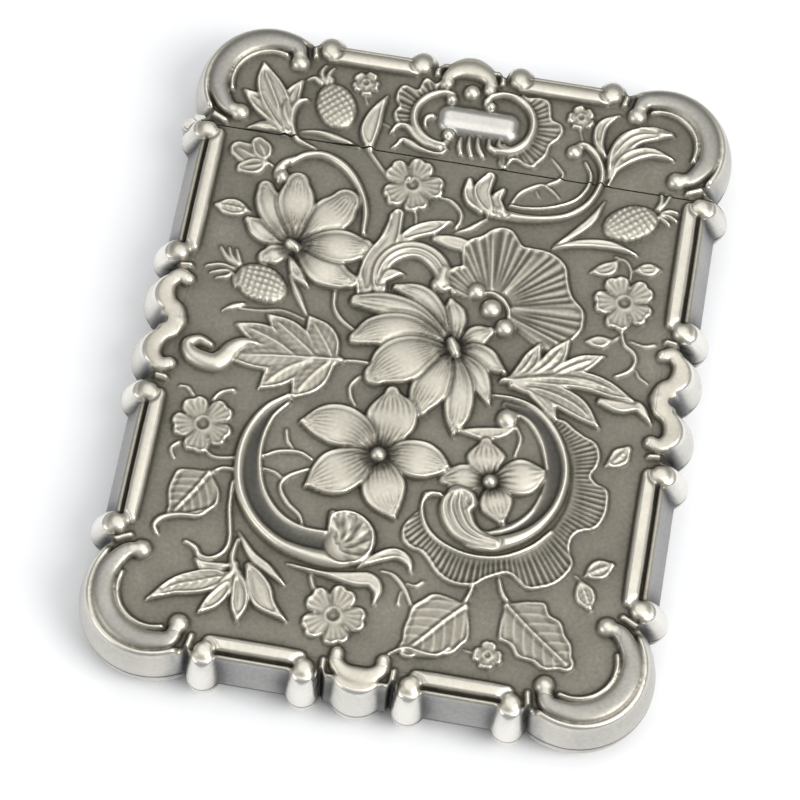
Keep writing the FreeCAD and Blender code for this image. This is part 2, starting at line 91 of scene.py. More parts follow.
# the ring's top: its rows are spaced as if it were this wide, the first ones dip under the field,
# and the last one stands over the wall at this level (0 at the middle line, 1 at the top)
RING_WIDTH = 3.9
RING_DIPS = (0.15, 0.01)
TOP_LEVEL = 0.95
CORNER_ARC = 12.0
# the rounded edge in steps of angle, then the wall, with its rows further apart than the ring's
EDGE_ANGLES = (25, 45, 65, 90)
WALL_HEIGHT = 4.6
WALL_STRETCH = 1.5
# the shallow line where the front and back halves meet
PARTING_INSET = 0.14
PARTING_REACH = 0.22
# columns on the wall: place along the side, centre line at top and middle, radius at top and middle
SIDE_COLUMNS = ((28.5, 33.0, 34.7, 1.3, 2.1), (10.1, 33.0, 34.7, 1.3, 2.1), (4.0, 31.9, 33.1, 2.7, 3.65))
END_COLUMNS = ((19.1, 43.2, 44.75, 1.3, 2.1), (6.6, 43.2, 44.75, 1.3, 2.1), (0.0, 41.7, 43.05, 3.3, 3.85))
# grooves sunk into the wall between columns: place along the side, half width
SIDE_GROOVES = ((7.9, 0.9), (0.0, 0.7), (31.6, 1.0))
END_GROOVES = ((4.7, 0.7), (21.9, 1.0))
GROOVE_DEPTH = 0.75
COLUMN_BLEND = 0.12
# room round the hinge barrel: radius, and half height about the middle line
LID_ROOM = (1.6, THICKNESS)
BODY_ROOM = (1.15, 3.2)

# rods on the border: centre line, then where each rod starts and ends along it
SIDE_RODS = (31.62, ((11.0, 27.8), (-27.6, -10.6)))
END_RODS = (42.18, ((7.2, 18.4), (-18.6, -7.4)))
# where the raised lip begins and is full: across the sides, across the ends, and out from a corner's centre
LIP_X = (32.95, 33.3)
LIP_Y = (43.25, 43.6)
LIP_ROUND = (7.75, 7.95)
LIP_HEIGHT = 0.8

# the grid of the relief, and the spacing of the points of the skins
HALF_X = 37.4
HALF_Y = 47.6
RELIEF_PITCH = 0.14
FRONT_PITCH = 0.18
BACK_PITCH = 0.24
# steps along each span of a curve, and how many grid points are measured against it at once
CURVE_STEPS = 24
CHUNK = 4000
# a distance for what is not there at all, and the whole grid as a window
NOWHERE = -9.0
EVERYWHERE = (slice(None), slice(None))

# brightness: of the sunk ground, of raised work and by height, and painted light and shade on what stands
# above its surroundings
GROUND_TONE = 0.325
RAISED_TONE = 0.18
HEIGHT_TONE = 0.05
# painted shade, soft like ambient occlusion, on the ground round raised work, and lighter tone over the
# raised work
SOFT_SHADING_TONE = 0.28
SOFT_SHADING_REACH = 0.8
# crests rubbed bright and given a painted highlight, with a line of painted shade at their foot
CREST_SHADING_TONE = 0.8
CREST_SHADING_REACH = 0.22
# the marked darkness: tarnish in engraved lines and on matt leaves, painted shade in sunk hearts, at petal
# bases and in grooves
STAIN_AND_SHADE_TONE = 0.3
WALL_TONE = 0.48
# painted light on the wall: highlight on the columns and along the top edge, shade in its hollows and along
# the middle line
COLUMN_HIGHLIGHT_TONE = 0.12
TOP_EDGE_HIGHLIGHT_TONE = 0.18
WALL_SHADING_TONE = 0.5
RIM_TONE = 0.55

# ------------------------------------------------------------------ light and view, in metres and degrees
# name, azimuth (0 is the front, 90 the right), elevation, distance, size, power in watts
LIGHTS = (("key", 65, 48, 0.9, 0.5, 5.4),
          ("overhead", 180, 78, 1.0, 1.0, 4.2),
          ("fill", -60, 30, 1.0, 0.6, 2.2))
VIEW = {"azimuth": 8.45, "elevation": 65.98, "roll": 1.63, "distance": 0.38104,
        "aim": (-0.00112, -0.00606, THICKNESS * MM), "lens": 135.0}
SKY = (0.93, 0.96, 1.0, 1.0)
SKY_STRENGTH = 0.4
FLOOR_SIZE = 6.0
FLOOR_GAP = 0.0002
FLOOR_GREY = 0.9


# ------------------------------------------------------------------ the relief: a height field over one face
def ease(low, high, value):
    """0 below low, 1 above high, and a soft step between."""
    t = np.clip((value - low) / (high - low), 0.0, 1.0)
    return t * t * (3.0 - 2.0 * t)


def ridge(distance, half_width):
    """A soft ridge: 1 on the line, falling off to both sides."""
    return np.exp(-(distance / half_width) ** 2)


def curve(points, per_span):
    """A smooth curve through the points."""
    p = np.array(points, float)
    ends = np.vstack([2 * p[0] - p[1], p, 2 * p[-1] - p[-2]])
    out = []
    for a, b, c, d in zip(ends, ends[1:], ends[2:], ends[3:]):
        t = np.linspace(0.0, 1.0, per_span, endpoint=False)[:, None]
        out.append(b + 0.5 * t * (c - a + t * (2 * a - 5 * b + 4 * c - d + t * (3 * b - a - 3 * c + d))))
    return np.vstack(out + [p[-1:]])


def along(values, t):
    """Values spread evenly over 0..1, read off at t on a smooth curve."""
    values = np.atleast_1d(values)
    if len(values) == 1:
        return np.full_like(t, values[0])
    c = curve([(v, 0.0) for v in values], 12)[:, 0]
    return np.interp(t, np.linspace(0.0, 1.0, len(c)), np.maximum(c, 0.0))


def blur(a, radius):
    """Gaussian blur, with the radius in grid steps."""
    n = max(1, int(np.ceil(3 * radius)))
    weights = np.exp(-0.5 * (np.arange(-n, n + 1) / radius) ** 2)
    weights /= weights.sum()
    for _ in range(2):
        wide = np.pad(a, ((n, n), (0, 0)), mode="edge")
        a = sum(w * wide[i:i + len(a)] for i, w in enumerate(weights)).T
    return a


def arc(x, y, rx, ry, first, last, count=12):
    """Points round an ellipse, with the angles in degrees."""
    return [(x + rx * cos(radians(a)), y + ry * sin(radians(a))) for a in np.linspace(first, last, count)]


def rounded_edge(gap, width=0.36):
    """The height of a leaf or petal, as a share, at a distance in from its outline."""
    return 0.4 + 0.6 * np.sqrt(1 - (1 - np.clip(gap / width, 0.0, 1.0)) ** 2)


class Relief:
    """Heights over the face, in millimetres above the sunk ground."""

    def __init__(self, pitch):
        self.x = np.linspace(-HALF_X, HALF_X, int(2 * HALF_X / pitch) + 1)
        self.y = np.linspace(-HALF_Y, HALF_Y, int(2 * HALF_Y / pitch) + 1)
        self.step = self.x[1] - self.x[0]
        self.h = np.zeros((len(self.y), len(self.x)))
        self.dark = np.zeros_like(self.h)
        self.polish = np.zeros_like(self.h)

    def window(self, x0, x1, y0, y1):
        """The part of the grid inside a box, with its x and y."""
        i0, i1 = np.searchsorted(self.x, (x0, x1))
        j0, j1 = np.searchsorted(self.y, (y0, y1))
        gx, gy = np.meshgrid(self.x[i0:i1], self.y[j0:j1])
        return (slice(j0, j1), slice(i0, i1)), gx, gy

    def near(self, points, reach):
        """Signed distance across a curve, the place along it (0..1) and its length."""
        c = curve([(x, y + RAISED_SHIFT) for x, y in points], CURVE_STEPS)
        where, gx, gy = self.window(c[:, 0].min() - reach, c[:, 0].max() + reach,
                                    c[:, 1].min() - reach, c[:, 1].max() + reach)
        tangent = np.gradient(c, axis=0)
        tangent /= np.maximum(np.hypot(*tangent.T)[:, None], 1e-9)
        run = np.concatenate([[0.0], np.cumsum(np.hypot(*np.diff(c, axis=0).T))])
        flat = np.stack([gx.ravel(), gy.ravel()], axis=1)
        best = np.concatenate([((part[:, None] - c) ** 2).sum(axis=2).argmin(axis=1)
                               for part in np.array_split(flat, len(flat) // CHUNK + 1)])
        offset = flat - c[best]
        tan = tangent[best]
        forward = (offset * tan).sum(axis=1)
        across = tan[:, 0] * offset[:, 1] - tan[:, 1] * offset[:, 0]
        beyond = (best == 0) & (forward < 0) | (best == len(c) - 1) & (forward > 0)
        dist = np.where(beyond, np.hypot(*offset.T), np.abs(across))
        signed = np.where(across < 0, -dist, dist)
        t = np.clip((run[best] + np.where(beyond, 0.0, forward)) / run[-1], 0.0, 1.0)
        return where, signed.reshape(gx.shape), t.reshape(gx.shape), run[-1]

    def lay(self, where, z, inside, over, dark=0.0, polish=0.0):
        """Put a shape down, on top of what is there or merged with it, with its darkness (tarnish, and
        painted shade in hollows) and its polish.
        """
        inside = np.clip(inside, 0.0, 1.0)
        old = self.h[where]
        self.h[where] = old * (1 - inside) + z * inside if over else np.maximum(old, z * inside)
        for field, value in ((self.dark, dark), (self.polish, polish)):
            field[where] = field[where] * (1 - inside) + value * inside

    def cord(self, points, width, height, over=False, power=0.5):
        """A raised line of round section, whose half width and height may vary along it."""
        where, s, t, _ = self.near(points, np.max(width) + 0.3)
        w = np.maximum(along(width, t), 0.05)
        z = along(height, t) * np.clip(1 - (s / w) ** 2, 0.0, 1.0) ** power
        self.lay(where, z, (w - np.abs(s)) / self.step + 0.5, over)

    def channel(self, points, width, height):
        """A smooth hollow band, for the inside of a scroll between its two ridges."""
        where, s, t, _ = self.near(points, np.max(width) + 0.3)
        w = np.maximum(along(width, t), 0.05)
        z = height * (0.35 + 0.65 * np.clip(s / w, -1.0, 1.0) ** 2)
        self.lay(where, z, (w - np.abs(s)) / self.step + 0.5, True, dark=0.6, polish=0.35)

    def band(self, points, width, height, ridges, depth=0.4):
        """A broad moulding with ridges running along it."""
        where, s, t, _ = self.near(points, np.max(width) + 0.3)
        w = np.maximum(along(width, t), 0.05)
        u = np.clip(s / w, -1.0, 1.0)
        flute = np.abs(np.cos(pi * ridges * (u + 1.0) / 2.0))
        z = along(height, t) * np.sqrt(1 - u ** 4) * (1 - depth + depth * (1 - flute) ** 0.7)
        self.lay(where, z, (w - np.abs(s)) / self.step + 0.5, True)

    def blade(self, points, width, height, rim=0.22, mid=0.0, veins=0.0, slant=0.8, lines=0, start=0.35,
              puff=0.0, side=0, wave=0.0, waves=0, shade=0.0, base=0.0):
        """A leaf or petal along a curve, with a raised rim, a midrib, side veins or lines at its tip."""
        where, s, t, length = self.near(points, np.max(width) + 0.5)
        w = np.maximum(along(width, t), 0.03)
        if waves:
            w = w * (1 + wave * np.sin(2 * pi * waves * (t + 0.15 * np.sign(s))) * ease(0.1, 0.3, t))
        a = np.abs(s)
        u = np.clip(s / w, -1.0, 1.0)
        z = along(height, t) * rounded_edge(w - a) * (1 - puff * u * u)
        z = z + rim * ridge(w - a - 0.24, 0.18) * ease(0.0, 0.12, t)
        z = z - 0.5 * rim * ridge(w - a - 0.66, 0.22) * (w > 0.75)
        z = z + mid * ridge(s, 0.16) * (1 - ease(0.86, 0.97, t)) * (w > 0.45)
        z = z - 0.5 * mid * ridge(a - 0.38, 0.17) * (w > 0.7)
        # base paints shade over the start of a petal, where it springs from the sunk heart
        dark = shade * ease(0.2, 0.45, w - a) + base * ridge(t, 0.3)
        if mid:
            dark = dark - shade * ridge(s, 0.2)
        if veins:
            q = (t * length - a * slant * (0.7 + 0.5 * np.abs(u))) / veins
            vein = ridge((q - np.round(q)) * veins, 0.16) * ease(0.98, 0.8, np.abs(u))
            z = z + 0.12 * vein - 0.05
            dark = dark - 0.8 * shade * vein
        if lines:
            ray = (1 - np.abs(np.sin(pi * lines * u / 2.0))) ** 1.5 * ease(1.0, 0.85, np.abs(u))
            cut = ray * np.maximum(ease(start, start + 0.35, t), 0.8 * ease(0.5, 0.15, t))
            z = z - 0.18 * cut
            dark = dark + 1.35 * cut
        if side:
            z = z - 0.22 * ease(0.0, 1.0, side * u)
        self.h[where] *= 1 - 0.35 * ridge(a - w, 0.22)
        self.lay(where, z, (w - a) / self.step + 0.5, True, dark)

    def leaf(self, lobes, height, rim=0.26, rib=0.26, shade=0.3, comb_pitch=1.15):
        """A cut leaf: lobes merged into one outline with one raised rim, and a vein along each lobe."""
        gap = np.full_like(self.h, NOWHERE)
        vein = np.zeros_like(self.h)
        side_vein = np.zeros_like(self.h)
        for points, width in lobes:
            where, s, t, length = self.near(points, np.max(width) + 0.5)
            a = np.abs(s)
            w = along(width, t)
            ahead = w - a > gap[where]
            gap[where] = np.maximum(gap[where], w - a)
            q = t * length - a * (0.7 + 0.4 * a / np.maximum(w, 0.2))
            comb = ridge(q - np.round(q / comb_pitch) * comb_pitch, 0.17) * ease(0.05, 0.4, w - a)
            side_vein[where] = np.where(ahead, comb, side_vein[where])
            vein[where] = np.maximum(vein[where], ridge(s, 0.2) * ease(1.0, 0.7, t) * (t > 0))
        z = height * rounded_edge(gap) + rim * ridge(gap - 0.26, 0.2) - 0.5 * rim * ridge(gap - 0.7, 0.22)
        z = z + rib * vein + 0.07 * side_vein * (1 - vein)
        dark = shade * ease(0.25, 0.5, gap) * (1 - vein) * (1 - 0.7 * side_vein)
        self.h *= 1 - 0.4 * ridge(gap, 0.22)
        self.lay(EVERYWHERE, z, gap / self.step + 0.5, True, dark)

    def petal(self, points, width, height, lines=7, start=0.55, rim=0.16, puff=0.3):
        """A petal: rounder than a leaf, with painted shade where it springs from the heart, engraved towards
        its tip.
        """
        self.blade(points, width, height, rim=rim, lines=lines, start=start, puff=puff, base=0.6, shade=-0.1)

    def polar(self, x, y, reach):
        """Distance and direction from a point, for the grid round it."""
        y += RAISED_SHIFT
        where, gx, gy = self.window(x - reach, x + reach, y - reach, y + reach)
        return where, np.hypot(gx - x, gy - y), np.arctan2(gy - y, gx - x)

    def ball(self, x, y, radius, height, over=True, dimple=0.0):
        """A round boss, with a dimple on top if asked."""
        where, rho, _ = self.polar(x, y, radius + 0.3)
        z = height * np.clip(1 - (rho / radius) ** 2, 0.04, 1.0) ** 0.42
        z = z - dimple * np.exp(-(rho / 0.5 / radius) ** 4)
        self.lay(where, z, (radius - rho) / self.step + 0.5, over)

    def blossom(self, x, y, radius, petals, start, height, heart):
        """A small flower of notched round petals round a dimple."""
        where, rho, th = self.polar(x, y, radius + 0.5)
        turn = (th - radians(start)) * petals / (2 * pi)
        phase = np.abs((turn - np.floor(turn)) * 2 - 1)
        outline = radius * (0.52 + 0.5 * np.clip(1 - phase ** 3.0, 0, 1) ** 0.6)
        outline *= 1 - 0.07 * ridge(phase, 0.2) + 0.035 * np.sin(3 * th + x)
        gap = outline - rho
        r = rho / radius
        lines = 0.5 + 0.5 * np.cos(th * 5 * petals)
        z = height * (0.6 + 0.32 * r) + 0.22 * ridge(gap - 0.22, 0.18)
        z -= 0.2 * ridge((1 - phase) * rho * pi / petals, 0.22) * ease(0.25, 0.5, r)
        z -= 0.12 * lines * ease(0.35, 0.7, r)
        z += 0.18 * ridge(rho - heart * 1.25, 0.2)
        z += 0.3 * height * ridge(rho / heart, 0.6) - 0.35 * height * np.exp(-(rho / heart) ** 4)
        dark = 0.3 * ridge(rho / heart - 0.9, 0.3) + 0.35 * lines * ease(0.2, 0.4, gap)
        self.lay(where, z, gap / self.step + 0.5, True, dark)

    def pineapple(self, x, y, a, b, angle, height, pitch=0.84):
        """An egg shape covered with small bosses."""
        where, rho, th = self.polar(x, y, a + 0.5)
        u = rho * np.cos(th - radians(angle))
        v = rho * np.sin(th - radians(angle))
        e = np.hypot(u / a, v / b)
        bend = v / np.sqrt(np.clip(1 - (u / a) ** 2, 0.25, 1.0))
        p = np.abs(np.sin(pi * (u + 0.25 * bend) / pitch))
        q = np.abs(np.sin(pi * (bend * 0.95 - 0.25 * u) / pitch))
        z = height * (0.3 + 0.55 * np.sqrt(np.clip(1 - e * e, 0.0, 1.0))) + 0.34 * np.minimum(p, q) ** 0.6
        self.lay(where, z, (1 - e) * b / self.step + 0.5, True, 0.4 * (1 - np.minimum(p, q) ** 0.5))

    def fan(self, x, y, inner, outer, ribs, height, sharp, strong=(), twist=0.0, stain_and_shade=0.4):
        """Ribs spreading from a centre between two outlines, each given as (angle, radius) pairs."""
        where, rho, th = self.polar(x, y, max(r for _, r in outer) + 0.6)
        first = outer[0][0]
        last = outer[-1][0]
        deg = (np.degrees(th) - first) % 360.0 + first
        smooth_outer = curve(outer, 6)
        out = np.interp(deg, smooth_outer[:, 0], smooth_outer[:, 1])
        inn = np.interp(deg, [a for a, _ in inner], [r for _, r in inner])
        gap = out - rho
        r = np.clip((rho - inn) / np.maximum(out - inn, 0.1), 0.0, 1.0)
        turn = ribs * (deg - first + twist * (1 - r)) / (last - first) + 0.12 * np.sin(0.37 * deg)
        wave = 0.5 + 0.5 * np.cos(2 * pi * turn)
        z = height * (0.45 + 0.35 * r + 0.15 * np.sin(r * pi))
        z -= sharp * (1 - wave ** 0.7) * ease(0.0, 0.3, r) * ease(0.3, 0.55, gap)
        z += 0.26 * ridge(gap - 0.24, 0.19)
        for angle in strong:
            z += 0.3 * ridge(radians(1) * (deg - angle) * rho, 0.32) * ease(1.0, 0.8, r)
        # darker over the whole fan, tarnish, and darker still between the ribs, painted shade in the grooves
        dark = (0.5 * stain_and_shade + stain_and_shade * (1 - wave ** 0.7) * ease(0.0, 0.3, r)) * ease(0.2, 0.5, gap)
        inside = np.minimum(gap, rho - inn) / self.step + 0.5
        self.lay(where, z, np.where((deg >= first) & (deg <= last), inside, 0.0), True, dark)

    def heart(self, x, y, radius, depth=0.5):
        """The sunk ring that the petals of a large flower spring from."""
        where, rho, th = self.polar(x, y, radius + 1.5)
        hole = np.exp(-(rho / radius) ** 4)
        notches = 0.25 * ridge(rho - radius, 0.55) * (np.cos(th * 17) > 0.2)
        self.h[where] *= 1 - np.clip(depth * 1.25 * (hole + notches), 0.0, 0.85)
        # painted shade in the sunk heart
        self.dark[where] = np.maximum(self.dark[where], 0.9 * hole)


# ------------------------------------------------------------------ the ornament
# a stroke has its points on the face, its half widths spread evenly along it, and its height over the ground;
# a fan's outline has angles in degrees, with the reach from its centre at each
def lid_work(f):
    """Ornament above the seam."""
    # acanthus in the left corner
    f.blade(((-23.2, 29.9), (-25.2, 30.3), (-28.0, 29.5)), (0.4, 0.75, 0.1), 0.5, rim=0.12, mid=0.16)
    f.blade(((-23.2, 30.4), (-26.2, 32.9), (-29.5, 35.1)), (0.7, 1.15, 1.15, 0.15), 0.62, rim=0.26, mid=0.12)
    f.blade(((-22.4, 30.2), (-23.2, 33.0), (-22.9, 35.4), (-22.0, 37.7)), (0.5, 0.8, 1.35, 1.0, 0.25), 0.62,
            rim=0.26, mid=0.1)
    f.blade(((-22.8, 29.8), (-24.6, 33.4), (-26.6, 36.9), (-27.6, 39.5)), (0.7, 1.5, 1.9, 1.5, 0.2), 0.72,
            rim=0.28, mid=0.2)
    f.cord(((-23.0, 30.2), (-24.6, 33.6), (-26.4, 37.0)), (0.3, 0.2), 0.95)
    f.cord(((-22.9, 30.4), (-25.2, 33.2), (-26.9, 35.2)), (0.25, 0.15), 0.82)
    f.blade(((-22.5, 30.6), (-23.5, 32.6), (-23.7, 34.4)), (0.35, 0.5, 0.1), 0.8, rim=0.12)
    f.cord(((-20.8, 35.0), (-21.9, 34.4), (-22.4, 33.0), (-22.1, 30.8), (-21.3, 29.2), (-20.2, 28.5),
            (-18.4, 28.0)), (0.25, 0.6, 0.5, 0.4, 0.3, 0.12), (0.85, 0.8, 0.6))
    # pineapple
    crown = (((-19.1, 38.0), (-19.7, 39.4), (-19.3, 40.6)), ((-18.8, 37.8), (-18.7, 39.3), (-18.2, 40.4)),
             ((-19.4, 37.7), (-20.3, 38.4), (-21.3, 38.1)), ((-18.3, 37.8), (-18.2, 38.6), (-18.6, 39.0)))
    for line in crown:
        f.cord(line, (0.2, 0.42, 0.2), 0.65)
    f.pineapple(-16.85, 34.7, 3.5, 2.55, -62.0, 0.8)
    f.blossom(-13.6, 38.9, 1.85, 5, 30.0, 0.55, 0.4)
    f.cord(((-13.4, 37.0), (-12.9, 35.9)), 0.16, 0.3)
    # upright leaf and its stem
    f.cord(((-12.0, 29.6), (-10.4, 27.8), (-8.4, 25.6)), (0.35, 0.25), 0.45)
    f.blade(((-11.3, 29.2), (-11.9, 31.6), (-11.5, 34.6), (-10.4, 37.5)), (0.4, 1.15, 1.15, 0.7, 0.15), 0.72,
            rim=0.2)
    f.cord(((-11.0, 30.2), (-10.7, 32.6), (-10.7, 34.6), (-10.5, 36.6)), (0.15, 0.28, 0.2), 0.8)
    f.blade(((-20.8, 30.2), (-18.2, 30.4), (-15.5, 29.9), (-12.8, 29.2)), (0.12, 0.4, 0.45, 0.12), 0.5,
            rim=0.12)
    # cartouche
    outline = ((98, 5.9), (106, 6.0), (112, 5.7), (120, 6.9), (130, 6.3), (138, 5.9),
               (145, 7.6), (155, 7.7), (163, 7.3), (170, 6.5), (180, 6.9), (190, 6.6),
               (197, 5.9))
    f.fan(-2.3, 35.2, ((98, 3.6), (197, 3.6)), outline, 13, 0.55, 0.3)
    outline = ((-88, 5.6), (-80, 6.5), (-70, 5.4), (-60, 5.8), (-50, 7.3), (-40, 7.2),
               (-28, 7.2), (-15, 6.9), (-5, 7.6), (4, 8.0), (12, 7.7), (19, 6.6), (30, 6.8),
               (42, 7.2), (52, 6.5), (62, 5.5), (72, 5.6))
    f.fan(5.5, 35.7, ((-88, 3.9), (72, 3.9)), outline, 22, 0.55, 0.24)
    f.cord(((-2.3, 30.9), (-4.2, 31.2), (-5.8, 32.2), (-6.9, 33.3), (-8.3, 33.3), (-8.9, 32.2)),
           (0.4, 0.35, 0.4, 0.45, 0.42, 0.35), 0.85)
    f.cord(((-1.3, 31.0), (-2.2, 30.1), (-4.6, 30.3), (-6.4, 31.1), (-7.4, 31.3), (-7.9, 30.5),
            (-8.5, 29.9)), (0.2, 0.22, 0.25, 0.42, 0.5, 0.3, 0.15), 0.75)
    f.cord(((-10.3, 33.4), (-9.4, 33.0)), 0.14, 0.3)
    f.cord(arc(-2.0, 35.4, 4.44, 4.0, 98, 272), (0.5, 0.58, 0.6, 0.58, 0.45), 1.0, over=True)
    f.ball(-1.9, 38.5, 0.78, 0.95)
    f.cord(((-2.9, 39.4), (-1.7, 39.3)), (0.5, 0.3), 0.9)
    f.cord(((-1.5, 33.2), (-1.5, 32.2), (-1.8, 31.6)), (0.5, 0.45, 0.45), 0.85)
    f.ball(-1.45, 33.1, 0.9, 1.0)
    f.cord(((-4.0, 35.6), (-4.7, 35.3), (-4.9, 34.5), (-4.7, 33.9)), (0.45, 0.4, 0.3, 0.12), 0.65)
    f.cord(arc(5.3, 36.0, 4.15, 4.35, -92, 121), (0.55, 0.7, 0.6, 0.55, 0.5, 0.45), 1.0, over=True)
    f.cord(((3.1, 39.6), (2.8, 38.9), (3.0, 38.3)), (0.5, 0.55, 0.5), 0.95)
    f.ball(3.4, 38.3, 0.72, 0.95)
    for line in (((5.2, 31.7), (4.2, 32.2), (3.9, 33.3)), ((6.2, 32.1), (5.4, 32.6), (5.3, 33.4)),
                 ((7.0, 32.2), (6.3, 32.5), (6.0, 32.9))):
        f.cord(line, (0.55, 0.42, 0.25), (0.95, 0.8))
    for line in (((0.2, 33.0), (0.25, 31.6), (0.6, 30.6)), ((1.3, 33.3), (1.5, 31.8), (2.0, 30.5)),
                 ((2.4, 33.4), (2.7, 32.0), (3.5, 30.7))):
        f.cord(line, (0.2, 0.42, 0.3), 0.7)
    f.ball(0.6, 40.0, 1.15, 1.05)
    name_plate(f, 2.15, 35.7, 3.9, 0.5)
    # flower and blades on the right
    f.blossom(15.5, 38.8, 1.85, 5, 5.0, 0.6, 0.4)
    f.cord(((15.6, 36.9), (16.2, 35.4)), 0.16, 0.3)
    f.blade(((19.5, 33.5), (18.3, 35.6), (18.5, 38.2), (20.6, 40.1)), (0.2, 0.75, 0.75, 0.15), 0.6, rim=0.22)
    f.blade(((20.4, 30.6), (20.9, 34.2), (23.2, 37.2), (28.0, 38.2)), (0.25, 1.0, 1.35, 0.95, 0.15), 0.7,
            rim=0.3, mid=0.26)
    f.cord(((20.3, 31.0), (20.5, 34.8), (22.4, 37.7), (24.9, 38.8), (27.8, 38.5)), (0.2, 0.28, 0.28, 0.15),
           0.98)
    f.blade(((20.5, 31.0), (22.5, 33.9), (25.2, 35.2), (28.5, 34.6)), (0.2, 0.75, 0.8, 0.6, 0.12), 0.65,
            rim=0.26)
    f.cord(((20.4, 29.3), (21.3, 31.6), (23.0, 33.3), (25.4, 34.5), (28.4, 34.5)), (0.12, 0.2, 0.2, 0.12),
           0.8)


def name_plate(f, x, y, half_length, half_width):
    """A polished plate, slightly domed, with a soft edge round a straight middle."""
    y += RAISED_SHIFT
    edge = 1.85
    where, gx, gy = f.window(x - half_length - edge, x + half_length + edge,
                             y - half_width - edge, y + half_width + edge)
    dist = np.hypot(np.maximum(np.abs(gx - x) - half_length, 0.0),
                    np.maximum(np.abs(gy - y) - half_width, 0.0))
    f.lay(where, 0.42 + 0.3 * ease(1.7, 0.2, dist), ease(edge, 1.0, dist), False, dark=-0.3, polish=1.0)


